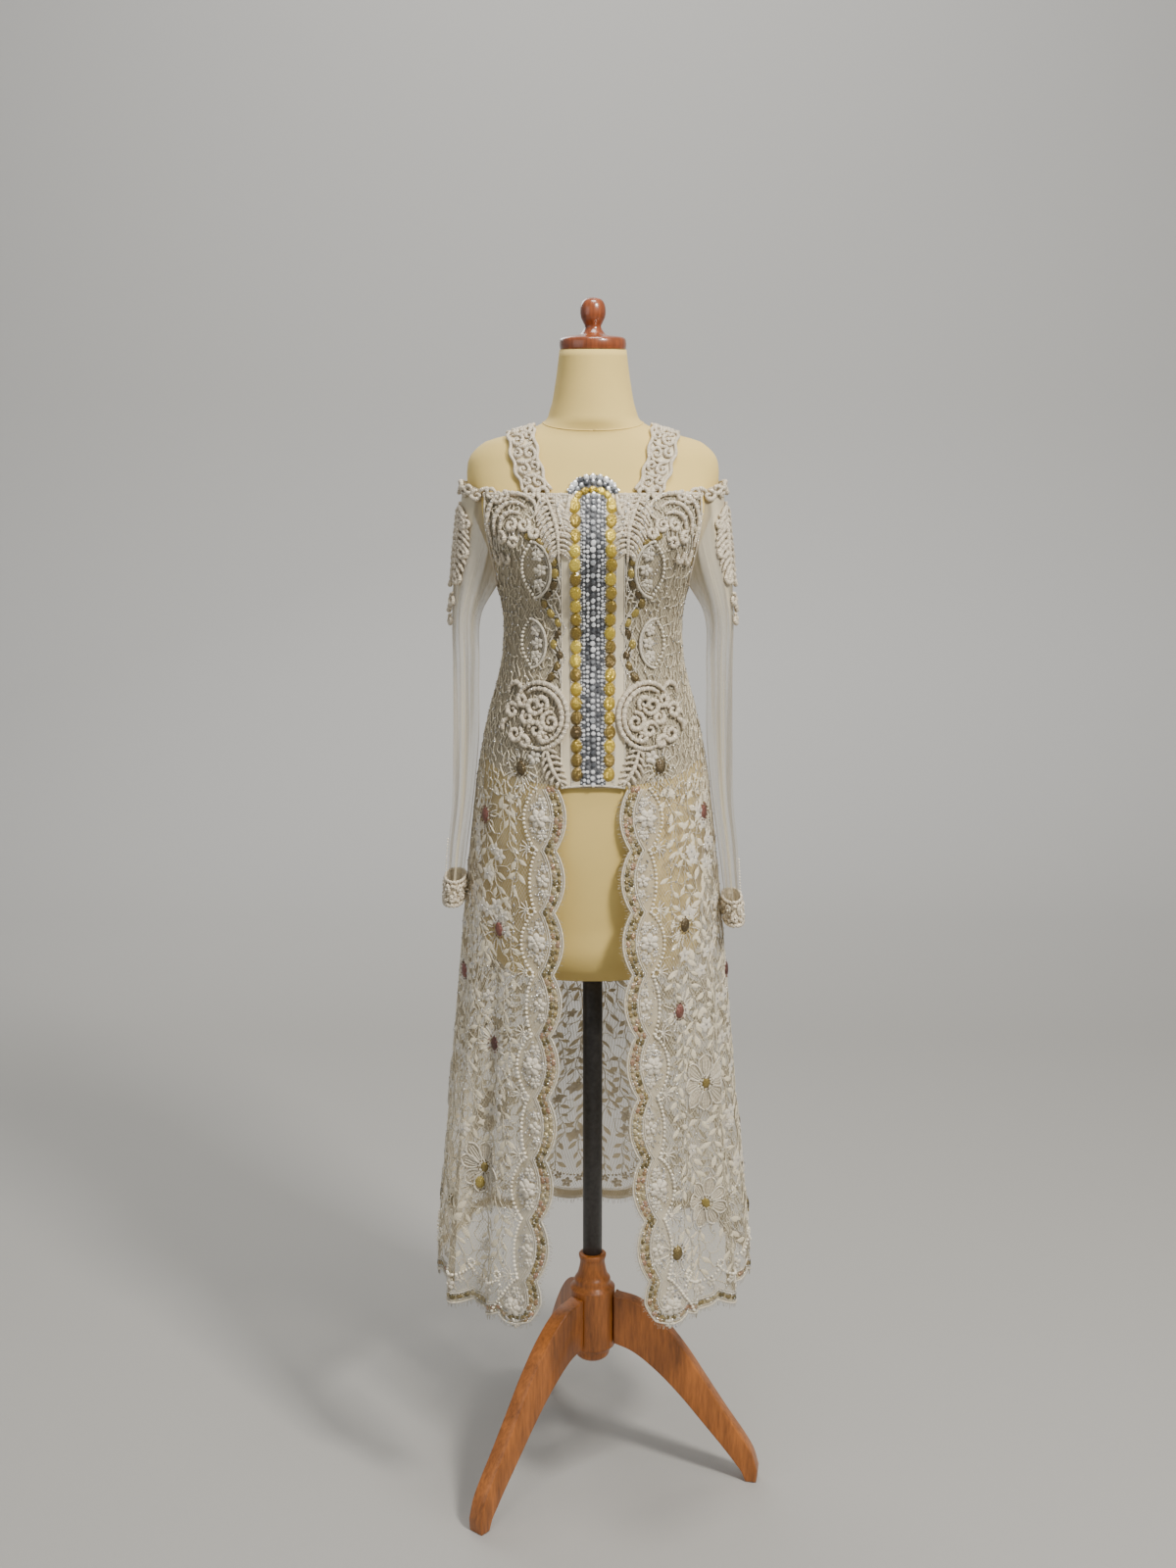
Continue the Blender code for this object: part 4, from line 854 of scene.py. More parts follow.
def hem_low(place):
    """Height of the scalloped hem. Place runs over a panel from its border to the side seam."""
    phase = (np.asarray(place, float) * HEM_SCALLOPS) % 1.0
    return HEM_Z - HEM_SCALLOP_DEPTH * np.sin(math.pi * phase) ** SCALLOP_ROUND


def share_to_a(body, share, height):
    """Distance along the cloth of a share of the section."""
    rows = np.clip(((CHART_TOP_Z - height) / CHART_ROW), 0, len(body.heights) - 1).astype(int)
    column = (share * (QUARTER - 1)).astype(int)
    return body.along[rows, np.clip(column, 0, 2 * QUARTER - 2)]


# Columns: heights that a stretch of the jersey's rings starts and ends at, rings
JERSEY_RINGS = ((1.624, 1.545, 10), (1.541, 1.480, 16), (1.476, 0.800, 58), (0.795, 0.780, 5))
JERSEY_HALF = 49  # points round half a ring
NECK_SEAM_Z, NECK_SEAM_DIP = 1.5300, 0.0100


def build_form():
    """Jersey over the torso and neck, closed at its flat bottom, with the neck's seam."""
    heights = np.concatenate([np.linspace(*stretch) for stretch in JERSEY_RINGS])
    share = np.concatenate([np.linspace(0, 2, JERSEY_HALF), np.linspace(2, 0, JERSEY_HALF)[1:-1]])
    side = np.where(np.arange(len(share)) < JERSEY_HALF, 1.0, -1.0)
    x, y = form_xy(share[None, :], heights[:, None], 0.0)
    points = joined(x * side, y, heights[:, None]) + POLE_PLACE
    batch = Batch()
    count = len(share)
    batch.add(points, grid_faces(len(heights), count, wrap=True)[:, ::-1])
    for row, order in ((0, 1), (len(heights) - 1, -1)):
        middle = points[row].mean(axis=0)
        start = batch.count
        batch.add([middle], np.zeros((0, 3), int))
        k = np.arange(count)
        fan = joined(row * count + k, row * count + (k + 1) % count, start)
        batch.faces.append(fan[:, ::order])
    piece("form_jersey", batch, LOOKS["jersey"], ["form_torso"])

    seam = Batch()
    turn = np.linspace(0, 2, 97)
    height = NECK_SEAM_Z - NECK_SEAM_DIP * np.clip(np.cos(turn * math.pi), 0, 1) ** 1.5
    half = np.where(turn <= 1, turn * 2, (2 - turn) * 2)
    x, y = form_xy(half, height, 0.0002)
    line = joined(np.where(turn <= 1, x, -x), y, height)
    tube(seam, line + POLE_PLACE, line - joined(0.0, 0.0, height - 0.02), 0.0009, 5)
    piece("neck_seam", seam, LOOKS["jersey"])


def lathe(profile, steps=56, step=0.0019):
    """Rings turned round the pole's axis through a smooth outline."""
    line = curve(profile, step) if step else np.asarray(profile, float)
    line[:, 0] = np.maximum(line[:, 0], 0.00005)
    turn = 2 * math.pi * np.arange(steps) / steps
    points = joined(line[:, 0:1] * np.cos(turn), line[:, 0:1] * np.sin(turn), line[:, 1:2])
    batch = Batch()
    batch.add(points + POLE_PLACE, grid_faces(len(line), steps, wrap=True))
    return batch


CAP_PROFILE = (
    (0.0, 1.6246), (0.0405, 1.6246), (0.0436, 1.6262), (0.0445, 1.6300), (0.0442, 1.6350), (0.0425, 1.6392),
    (0.0350, 1.6418), (0.0210, 1.6432), (0.0165, 1.6452), (0.0125, 1.6500), (0.0108, 1.6545), (0.0128, 1.6590),
    (0.0160, 1.6660), (0.0170, 1.6745), (0.0152, 1.6840), (0.0100, 1.6900), (0.0, 1.6925),
)
HUB_PROFILE = (
    (0.0, 0.170), (0.0150, 0.170), (0.0240, 0.176), (0.0265, 0.186), (0.0325, 0.1925), (0.0330, 0.200),
    (0.0330, 0.275), (0.0325, 0.282), (0.0265, 0.289), (0.0262, 0.296), (0.0215, 0.304), (0.0180, 0.322),
    (0.0198, 0.330), (0.0180, 0.335), (0.0, 0.335),
)
POLE_RADIUS = 0.0140
POLE_BOTTOM_Z, POLE_TOP_Z = 0.3353, 0.7797
POLE_BEVEL = 0.001
LEG_ANGLES = {"front_right": -11.6, "front_left": -131.6, "back": 108.4}
LEG_THICK = 0.0250
LEG_OUTLINE = (
    (0.0335, 0.2740), (0.0700, 0.2650), (0.1050, 0.2380), (0.1400, 0.1960), (0.1720, 0.1480),
    (0.2000, 0.1060), (0.2240, 0.0720), (0.2410, 0.0440), (0.2490, 0.0180), (0.2475, 0.0),
    (0.2315, 0.0), (0.2255, 0.0150), (0.2000, 0.0480), (0.1680, 0.0860), (0.1320, 0.1280),
    (0.0980, 0.1620), (0.0640, 0.1880), (0.0335, 0.2000),
)
LEG_ROUND = 0.0022  # rounding of a leg's sawn edges


def build_stand():
    piece("cap_turned", lathe(CAP_PROFILE), LOOKS["cap"], ["neck_cap"])
    piece("hub_turned", lathe(HUB_PROFILE), LOOKS["leg"], ["stand_hub"])
    inner = POLE_RADIUS - POLE_BEVEL
    profile = [
        (0.0, POLE_BOTTOM_Z), (inner, POLE_BOTTOM_Z), (POLE_RADIUS, POLE_BOTTOM_Z + POLE_BEVEL),
        (POLE_RADIUS, POLE_TOP_Z - POLE_BEVEL), (inner, POLE_TOP_Z), (0.0, POLE_TOP_Z),
    ]
    piece("pole_tube", lathe(profile, 40, None), LOOKS["metal"], ["stand_pole"])
    upper, lower = LEG_OUTLINE[:10], LEG_OUTLINE[10:]
    outline = np.vstack([curve(upper[:-1], 0.006), upper[-1:], lower[:1], curve(lower[1:], 0.006)])
    run = np.roll(outline, -1, axis=0) - np.roll(outline, 1, axis=0)
    inward = joined(run[:, 1], -run[:, 0])
    inward /= np.linalg.norm(inward, axis=1, keepdims=True)
    inward *= np.sign(np.sum(inward * (outline.mean(axis=0) - outline)))
    turn = np.radians((0, 30, 60, 90))
    insets, depths = LEG_ROUND * (1 - np.sin(turn)), LEG_THICK / 2 - LEG_ROUND * (1 - np.cos(turn))
    rings = [*zip(insets, -depths), *zip(insets[::-1], depths[::-1])]
    count = len(outline)
    for name, angle in LEG_ANGLES.items():
        c, s = math.cos(math.radians(angle)), math.sin(math.radians(angle))
        turned = []
        for inset, depth in rings:
            x, z = (outline + inward * inset).T
            turned.append(joined(x * c - depth * s, x * s + depth * c, np.maximum(z, 0.0)) + POLE_PLACE)
        batch = Batch()
        batch.add(turned, grid_faces(len(rings), count, wrap=True))
        batch.faces.append(np.arange(count)[None, ::-1])
        batch.faces.append(np.arange(count)[None, :] + (len(rings) - 1) * count)
        made = piece(f"leg_{name}", batch, LOOKS["leg"], [f"stand_leg_{name}"])
        made.data.set_sharp_from_angle(angle=math.radians(40))


LINING_ROWS, LINING_COLUMNS = 61, 81
LINING_TOP_Z = 1.4365
LINING_HEM = (0.00204, 0.03978)  # rise of its hem over the split: in the middle, and more at the sides
LINING_HALF = 0.22


def armhole(height):
    """Share of a quarter at which the armhole starts."""
    return np.interp(height, ARMHOLE[:, 0], ARMHOLE[:, 1])


def build_lining(facing_name):
    """Bodice lining, one sheet, with its neckline under the lace and a curved hem at the hip."""
    u = np.linspace(-1, 1, LINING_COLUMNS)[None, :]
    v = np.linspace(0, 1, LINING_ROWS)[:, None]
    low = WAIST_SPLIT_Z + LINING_HEM[0] + LINING_HEM[1] * u**2
    z = LINING_TOP_Z + (low - LINING_TOP_Z) * v
    share = np.abs(u) * np.where(z > ARMPIT_Z, armhole(z), 1.0)
    x, y = form_xy(share if facing_name == "front" else 2 - share, z, LINING_PUSH)
    batch = Batch()
    points = joined(np.sign(u) * x, y, z) + POLE_PLACE
    batch.add(points, grid_faces(LINING_ROWS, LINING_COLUMNS), joined(u * LINING_HALF, z))
    made = piece(f"lining_{facing_name}_satin", batch, LOOKS["lining"], [f"lining_{facing_name}"])


def border_share(body):
    """Share of a front panel's width, at the hem, that its border takes."""
    start, end = body.from_x(front_edge_x(HEM_Z), HEM_Z), body.side_at(HEM_Z)
    return float((body.from_x(border_line(HEM_Z), HEM_Z) - start) / (end - start))


def front_hem_low(place, split):
    """Height of a front panel's hem. Its border, up to split, has one scallop more."""
    corner = np.sin(np.clip(place / split, 0, 1) * math.pi) ** SCALLOP_ROUND
    low = hem_low(np.clip((place - split) / (1 - split), 0, 1))
    return np.where(place < split, HEM_Z - HEM_SCALLOP_DEPTH * corner, low)


def panel_block(body, facing, top, bottom, rows, columns, hem=False):
    """A stretch of a lace panel as a grid: points, and their flat places."""
    u = np.linspace(0, 1, columns)[None, :]
    v = np.linspace(0, 1, rows)[:, None]
    low = np.full(u.shape, float(bottom))
    if hem:
        if facing == "front":
            low = front_hem_low(u, border_share(body))
        else:
            low = hem_low(1 - u)
    z = top + (low - top) * v
    side = body.side_at(z)
    if facing == "front":
        start = 0.0 if top > WAIST_SPLIT_Z else body.from_x(front_edge_x(z), z)
        end = side
    else:
        start, end = side, body.end_at(z)
    limit = armhole(np.clip(z, ARMPIT_Z, None))
    if facing == "front":
        end = np.where(z > ARMPIT_Z, share_to_a(body, limit, z), end)
    else:
        start = np.where(z > ARMPIT_Z, share_to_a(body, 2 - limit, z), start)
    return start + (end - start) * u, z


# Columns: top and bottom of a stretch of a panel, its rows, whether it ends in the hem
PANEL_BLOCKS = (
    (NECKLINE_Z + 0.001, ARMPIT_Z, 26, False),
    (ARMPIT_Z, WAIST_SPLIT_Z, 40, False),
    (WAIST_SPLIT_Z - 1e-6, HEM_Z, 112, True),
)
PANEL_COLUMNS = 54


def build_panel(side_name, facing):
    """Net ground of one lace panel, from the neckline to the scalloped hem, as it is cut."""
    body = BODY[side_name]
    batch = Batch()
    for top, bottom, rows, hem in PANEL_BLOCKS:
        a, z = panel_block(body, facing, top, bottom, rows, PANEL_COLUMNS, hem)
        faces = grid_faces(rows, PANEL_COLUMNS)
        batch.add(body.at(a, z), faces if side_name == "right" else faces[:, ::-1], joined(a, z))
    nodes = [f"{facing}_{side_name}", f"hem_{facing}_{side_name}"]
    if facing == "front":
        nodes.append(f"border_{side_name}")
    piece(f"lace_{facing}_{side_name}", batch, LOOKS["net"], nodes)


def sleeve_xyz(side, height, turn):
    """Point of a sleeve: turn 0 is its outer side, -90 degrees its front."""
    inner, outer, middle_y, half_y = np.moveaxis(read(SLEEVE, height), -1, 0)
    x = (inner + outer) / 2 + (outer - inner) / 2 * np.cos(turn)
    y = middle_y + half_y * np.sin(turn)
    return joined(side * x, y, height)


SLEEVE_COLUMNS = 88
SLEEVE_UPPER_ROWS, SLEEVE_LOWER_ROWS = 32, 52
SLEEVE_PUSH = 0.0051  # the armhole seam over the form: over the lace's outer face
SLEEVE_SEAM_SHARE = 0.7  # of half the seam that runs down the armhole, the rest crosses under the arm
SLEEVE_ROUND = 0.21
# Columns: angle round the sleeve, width of the fold in degrees, its height
SLEEVE_FOLDS = (
    (-60, 9, 0.0022), (-28, 8, -0.0020), (5, 8, 0.0018), (38, 9, -0.0020), (75, 10, 0.0018), (130, 14, -0.0016),
)


def build_sleeve(side_name):
    """Sheer sleeve from the armhole seam to the wrist, with the long folds that it hangs in."""
    side = SIDES[side_name]
    seam_half = SLEEVE_COLUMNS // 2
    cap = SLEEVE_COLUMNS - seam_half - 1
    part = np.arange(seam_half // 2 + 1) / (seam_half // 2)
    down = np.minimum(part / SLEEVE_SEAM_SHARE, 1.0)
    under = np.maximum(part - SLEEVE_SEAM_SHARE, 0.0) / (1 - SLEEVE_SEAM_SHARE)
    height = NECKLINE_Z + (ARMPIT_Z - NECKLINE_Z) * down
    share = armhole(height) + (1 - ARMHOLE[0, 1]) * under
    share = np.concatenate([share, 2 - share[-2::-1]])
    height = np.concatenate([height, height[-2::-1]])
    x, y = form_xy(share, height, SLEEVE_PUSH)
    seam = joined(side * x, y, height)
    turns = -math.pi / 2 - math.pi * np.arange(len(seam)) / (len(seam) - 1)
    cap_turns = math.pi / 2 - math.pi * np.arange(1, cap + 1) / (cap + 1)
    cap_heights = NECKLINE_Z + (SLEEVE_TOP_Z - NECKLINE_Z) * np.cos(cap_turns)
    top = np.vstack([seam, sleeve_xyz(side, cap_heights, cap_turns)])
    turns = np.concatenate([turns, cap_turns])
    bottom = CUFF_BOTTOM[side_name] + 0.002
    parts = np.linspace(0, 1, SLEEVE_UPPER_ROWS)[:, None]
    z = top[None, :, 2] + (SLEEVE_BLEND_Z - top[None, :, 2]) * parts
    shift = top - sleeve_xyz(side, top[:, 2], turns)
    upper = sleeve_xyz(side, z, turns) + shift[None] * ((1 - parts) ** 3)[..., None]
    z = np.linspace(SLEEVE_BLEND_Z, bottom, SLEEVE_LOWER_ROWS)[1:, None]
    grid = np.vstack([upper, sleeve_xyz(side, z, turns[None, :])])
    z = grid[..., 2]
    fold = np.zeros_like(z)
    degrees = (np.degrees(turns) + 540) % 360 - 180
    for middle, width, depth in SLEEVE_FOLDS:
        drift = middle + 14 * np.sin(z * 7.0 + middle)
        fold += depth * np.exp(-(((degrees - drift) / width) ** 2))
    fold *= smooth(z, bottom + 0.03, bottom + 0.10) * smooth(1.40 - z, 0.0, 0.12)
    spokes = grid - grid.mean(axis=1, keepdims=True)
    spokes[..., 2] = 0
    spokes /= np.linalg.norm(spokes, axis=2, keepdims=True)
    grid = grid + spokes * fold[..., None] + POLE_PLACE
    batch = Batch()
    flat = joined(np.arange(len(turns)) / len(turns) * SLEEVE_ROUND, z)
    faces = grid_faces(len(grid), len(turns), wrap=True)
    batch.add(grid, faces if side > 0 else faces[:, ::-1], flat)
    piece(f"sleeve_{side_name}_tulle", batch, LOOKS["tulle"], [f"sleeve_{side_name}"])


ARM_RADIUS = 0.035  # what a turn of the sleeve is counted with, so that a is in metres
ARM_COLUMN, ARM_ROW, ARM_END_Z = 0.002, 0.003, 0.846


def sleeve_chart(side_name, push):
    """Chart of a sleeve: a runs round it from its outer side to the front, b is the height."""
    side = SIDES[side_name]
    b = np.arange(SLEEVE_TOP_Z, ARM_END_Z, -ARM_ROW)
    a = np.arange(-math.pi * ARM_RADIUS, math.pi * ARM_RADIUS + ARM_COLUMN, ARM_COLUMN)
    grid = sleeve_xyz(side, b[:, None], -a[None, :] / ARM_RADIUS) + POLE_PLACE
    chart = Chart(grid, a[0], ARM_COLUMN, b[0], -ARM_ROW)
    spokes = grid - grid.mean(axis=1, keepdims=True)
    chart.normals *= np.sign(np.sum(spokes * chart.normals))
    chart.points = chart.points + chart.normals * push
    return chart


STRAP_START, STRAP_END = math.radians(17), math.radians(161)
STRAP_MIDDLE, STRAP_SPREAD, STRAP_HALF = 0.0720, 0.0240, 0.0175
SHOULDER_AXIS_Z = 1.415
STRAP_PUSH = 0.0014
STRAP_LONG = 0.215
STRAP_COLUMNS, STRAP_ROWS, STRAP_COLUMN = 23, 72, 0.002
STRAP_REACH = STRAP_COLUMN * (STRAP_COLUMNS - 1) / 2


def over_shoulder(x, turn, push):
    """Points over the form where rays from the shoulders' middle leave it."""
    near, far = np.zeros_like(x), np.full_like(x, 0.25)
    for _ in range(32):
        middle = (near + far) / 2
        y, z = -middle * np.cos(turn), SHOULDER_AXIS_Z + middle * np.sin(turn)
        half_width, front, back, power = np.moveaxis(read(FORM, z), -1, 0)
        depth = np.where(y < 0, front, back)
        inside = ((np.abs(x) / half_width) ** power + (np.abs(y) / depth) ** power <= 1) & (z < 1.62)
        near, far = np.where(inside, middle, near), np.where(inside, far, middle)
    reach = near + push
    return joined(x, -reach * np.cos(turn), SHOULDER_AXIS_Z + reach * np.sin(turn))


def strap_chart(side_name):
    """Chart of a strap: a runs across it, away from the neck, b along it from front to back."""
    side = SIDES[side_name]
    part = np.linspace(0, 1, STRAP_ROWS)[:, None]
    a = np.linspace(-STRAP_REACH, STRAP_REACH, STRAP_COLUMNS)[None, :]
    turn = STRAP_START + (STRAP_END - STRAP_START) * part
    middle = STRAP_MIDDLE + STRAP_SPREAD * np.sin(math.pi * part) ** 0.8
    x, turn = np.broadcast_arrays(middle + a, turn)
    grid = over_shoulder(x, turn, STRAP_PUSH) * (side, 1, 1) + POLE_PLACE
    return Chart(grid, -STRAP_REACH, STRAP_COLUMN, 0.0, STRAP_LONG / (STRAP_ROWS - 1), flip=side > 0)


FLOOR_FRONT_Y, FLOOR_HALF, FLOOR_DROP = -7.0, 9.0, 0.0005
WALL_Y, WALL_ROUND, WALL_TOP_Z = 4.6, 1.6, 6.0


def build_stage():
    """Plain floor that curves up into a wall far behind the part."""
    turn = np.radians(np.linspace(0, 90, 24))
    bend = joined(WALL_Y - WALL_ROUND + WALL_ROUND * np.sin(turn), WALL_ROUND - WALL_ROUND * np.cos(turn))
    line = np.vstack([(FLOOR_FRONT_Y, 0.0), bend, (WALL_Y, WALL_TOP_Z)])
    points = joined(np.array((-FLOOR_HALF, FLOOR_HALF)), line[:, :1], line[:, 1:] - FLOOR_DROP)
    mesh = bpy.data.meshes.new("studio_floor")
    mesh.from_pydata(points.reshape(-1, 3).tolist(), [], grid_faces(len(line), 2).tolist())
    mesh.shade_smooth()
    mesh.materials.append(floor_look("pale_floor", (0.40, 0.385, 0.355), (0.66, 0.648, 0.62)))
    made = bpy.data.objects.new("studio_floor", mesh)
    bpy.context.scene.collection.objects.link(made)


def area_light(name, place, target, size, power, colour):
    data = bpy.data.lights.new(name, "AREA")
    data.energy, data.size, data.color = power, size, colour
    made = bpy.data.objects.new(name, data)
    made.location = place
    aim = Vector(target) - Vector(place)
    made.rotation_euler = aim.to_track_quat("-Z", "Y").to_euler()
    bpy.context.scene.collection.objects.link(made)


# Columns: name, place, target, size, power, colour
LIGHTS = (
    ("key", (1.6, -2.0, 3.3), (0, 0, 1.0), 0.50, 138, (1.0, 0.975, 0.93)),
    ("fill", (-2.6, -2.0, 1.8), (0, 0, 0.9), 2.2, 14, (0.93, 0.96, 1.0)),
    ("back", (-1.4, 2.7, 3.0), (0, 0, 1.0), 1.6, 34, (0.96, 0.98, 1.0)),
    ("backdrop", (0.0, 2.4, 4.6), (0, 4.6, 2.0), 2.6, 60, (1.0, 0.99, 0.97)),
    ("top", (0.2, -0.5, 3.6), (0, 0, 1.0), 0.9, 46, (1.0, 0.98, 0.95)),
)
ROOM_COLOUR, ROOM_STRENGTH = (0.92, 0.95, 1.0, 1.0), 0.33


def build_light():
    world = bpy.data.worlds.new("soft_room")
    world.use_nodes = True
    background = world.node_tree.nodes["Background"]
    background.inputs["Color"].default_value = ROOM_COLOUR
    background.inputs["Strength"].default_value = ROOM_STRENGTH
    bpy.context.scene.world = world
    for row in LIGHTS:
        area_light(*row)


CAMERA_PLACE = (-0.0166, -2.5494, 1.55)
CAMERA_DOWN = 11.45  # degrees below level
CAMERA_LENS, CAMERA_SENSOR = 42.75, 36.0


def build_camera():
    data = bpy.data.cameras.new("camera")
    data.lens, data.sensor_width, data.sensor_fit = CAMERA_LENS, CAMERA_SENSOR, "AUTO"
    made = bpy.data.objects.new("camera", data)
    made.location = CAMERA_PLACE
    made.rotation_euler = (math.radians(90 - CAMERA_DOWN), 0, 0)
    bpy.context.scene.collection.objects.link(made)
    bpy.context.scene.camera = made


CENTRE_COLUMNS = 22
CENTRE = Chart(
    np.concatenate([
        BODY["left"].points[:, CENTRE_COLUMNS:0:-1], BODY["right"].points[:, : CENTRE_COLUMNS + 1],
    ], axis=1),
    -CENTRE_COLUMNS * CHART_COLUMN, CHART_COLUMN, CHART_TOP_Z, -CHART_ROW, flip=False,
)


def strands(batch, chart, paths, radius, sides=4, lift=0.0):
    """Many cords at once, from paths of equal length given as flat places."""
    paths = np.asarray(paths, float)
    count, long = paths.shape[:2]
    radius = np.broadcast_to(np.asarray(radius, float), (count,))[:, None] + np.zeros((count, long))
    line = chart.at(paths[..., 0], paths[..., 1], lift + 0.8 * radius)
    up = (chart.at(paths[..., 0], paths[..., 1], lift + 0.8 * radius + 0.002) - line) / 0.002
    ahead = np.gradient(line, axis=1)
    across = np.cross(ahead, up)
    across /= np.maximum(np.linalg.norm(across, axis=2, keepdims=True), 1e-12)
    turn = 2 * math.pi * np.arange(sides) / sides
    ring = np.cos(turn)[:, None] * across[:, :, None] + np.sin(turn)[:, None] * up[:, :, None]
    points = line[:, :, None] + radius[..., None, None] * ring
    offsets = (np.arange(count) * long * sides)[:, None, None]
    run = np.arange(long)[None, :, None] * 0.003
    flat = joined((np.arange(sides) / sides)[None, None, :], run + 0 * points[..., 0])
    batch.add(points, (grid_faces(long, sides, wrap=True)[None] + offsets).reshape(-1, 4), flat)


def bowed(starts, ends, bow, count=5):
    """Paths between pairs of places, each bowed sideways by its own amount."""
    t = np.linspace(0, 1, count)[None, :, None]
    run = ends - starts
    side = np.stack([-run[:, 1], run[:, 0]], axis=1)
    lean = np.asarray(bow, float).reshape(-1, 1, 1) * side[:, None] * (4 * t * (1 - t))
    return starts[:, None] * (1 - t) + ends[:, None] * t + lean


def cloth_patch(chart, a, b, lift):
    """A batch with one sheet over a grid of flat places."""
    batch = Batch()
    a, b = np.broadcast_arrays(a, b)
    batch.add(chart.at(a, b, lift + 0 * a), grid_faces(*a.shape), joined(a, b))
    return batch


def headings(path):
    """Turn of each place of a path, for shapes that lie along it."""
    step = np.gradient(np.asarray(path, float), axis=0)
    return np.degrees(np.arctan2(step[:, 1], step[:, 0])) - 90


def along(path, gap, wide, long, tall, spread=0.0):
    """Spots for shapes at even gaps along a path."""
    line = resample(np.asarray(path, float), gap)
    turn = headings(line)
    count = len(line)
    size = 1 + spread * (RANDOM.random(count) - 0.5)
    return np.stack([line[:, 0], line[:, 1], turn, wide * size, long * size, np.full(count, tall)], axis=1)


def acanthus(base, tip, wide, bend=0.0, ribs=7):
    """Cords of a long curled leaf: its spine, and ribs that sweep out and forward from it."""
    base, tip = np.array(base, float), np.array(tip, float)
    run = tip - base
    side = np.array((-run[1], run[0])) / np.linalg.norm(run)
    spine = curve([base, base + run * 0.5 + side * bend, tip])
    paths = [spine]
    for k in range(ribs):
        part = 0.06 + 0.80 * k / (ribs - 1)
        start = spine[int(part * (len(spine) - 1))]
        reach = 0.5 * wide * math.sin(math.pi * (0.22 + 0.70 * part))
        for hand in (-1, 1):
            ahead = run * min(0.16, 1 - part)
            paths.append(curve([
                start, start + hand * side * reach * 0.55 + ahead * 0.30, start + hand * side * reach + ahead,
            ]))
    return paths


def rosette(a, b, radius, petals=5, turn=0.0):
    """Spots of a small flower's petals, for discs."""
    spots = []
    for k in range(petals):
        angle = math.radians(turn + 360 * k / petals)
        spots.append((
            a + 0.6 * radius * math.cos(angle), b + 0.6 * radius * math.sin(angle),
            math.degrees(angle) - 90, 0.75 * radius, 1.0 * radius, 0.32 * radius,
        ))
    return spots


def ring_spots(a, b, radius, count, size, start=0.0):
    turn = np.radians(start + 360 * np.arange(count) / count)
    return [(a + radius * math.cos(t), b + radius * math.sin(t), 0, size, size, size) for t in turn]


# Thick cords of the waist scroll, as distances from centre front and heights
WAIST_MIDDLE = (0.0715, 1.1475)
WAIST_CORDS = [
    arc(WAIST_MIDDLE, (0.0385, 0.0430), 22, 312),
    arc(WAIST_MIDDLE, (0.0310, 0.0352), 55, 268),
    spiral((0.0690, 1.1640), 0.0095, 0.0022, 240, -430),
    spiral((0.0890, 1.1440), 0.0090, 0.0022, 60, -450),
    spiral((0.0650, 1.1190), 0.0070, 0.0020, 120, -430),
    spiral((0.0960, 1.1660), 0.0085, 0.0022, 200, 430),
    spiral((0.0930, 1.1120), 0.0085, 0.0022, 20, 430),
    spiral((0.0565, 1.1400), 0.0130, 0.0025, 100, -520),
    spiral((0.0790, 1.1600), 0.0120, 0.0025, 190, 470),
    spiral((0.0760, 1.1290), 0.0110, 0.0025, 10, 470),
    spiral((0.1130, 1.1510), 0.0105, 0.0025, 160, -480),
    spiral((0.1070, 1.1220), 0.0110, 0.0025, 130, 480),
    curve([(0.0960, 1.1800), (0.1060, 1.1880), (0.1180, 1.1830), (0.1220, 1.1730)]),
    curve([(0.1200, 1.1400), (0.1290, 1.1340), (0.1300, 1.1240)]),
]
WAIST_TAIL = acanthus((0.0620, 1.1060), (0.0390, 1.0560), 0.030, 0.004, 6)
WAIST_FLOWER = (0.0790, 1.0930)

BUST_CORDS = [
    curve([
        (0.1500, 1.3700), (0.1500, 1.4000), (0.1370, 1.4260), (0.1150, 1.4375), (0.0930, 1.4370),
        (0.0770, 1.4280), (0.0740, 1.4140), (0.0830, 1.4060),
    ]),
    curve([(0.1380, 1.3860), (0.1330, 1.4080), (0.1170, 1.4240), (0.0990, 1.4270), (0.0880, 1.4210)]),
    curve([(0.1260, 1.3930), (0.1200, 1.4080), (0.1070, 1.4150), (0.0950, 1.4130)]),
    curve([(0.0300, 1.4375), (0.0330, 1.4180), (0.0400, 1.4080)]),
    spiral((0.0900, 1.3990), 0.0085, 0.0020, 120, 470),
    spiral((0.1080, 1.3990), 0.0080, 0.0020, 100, 430),
    spiral((0.1240, 1.3830), 0.0080, 0.0020, 60, 430),
    spiral((0.1050, 1.3770), 0.0065, 0.0020, 160, -430),
    curve([(0.1480, 1.3660), (0.1400, 1.3500), (0.1330, 1.3520), (0.1350, 1.3620)]),
    curve([(0.1290, 1.3640), (0.1220, 1.3520), (0.1140, 1.3540), (0.1160, 1.3630)]),
    spiral((0.0760, 1.3900), 0.0070, 0.0020, 60, -470),
    spiral((0.0640, 1.4390), 0.0092, 0.0020, 250, 470),
    spiral((0.0835, 1.4400), 0.0088, 0.0020, 290, -470),
]
BUST_LEAF = acanthus((0.0620, 1.4380), (0.0440, 1.3520), 0.046, -0.006, 15)
BUST_CURL = acanthus((0.0480, 1.4370), (0.0360, 1.3900), 0.018, 0.002, 7)
# The ribbed rays under the bust's large arc
BUST_RAYS = [
    curve([(0.0960 + 0.0068 * k, 1.4030 - 0.0028 * k), (0.0975 + 0.0075 * k, 1.3800 - 0.0035 * k)])
    for k in range(8)
]
MEDALLIONS = (
    (0.0800, 1.3420, 0.0250, 0.0370, 1),
    (0.0860, 1.2420, 0.0230, 0.0330, 1),
)
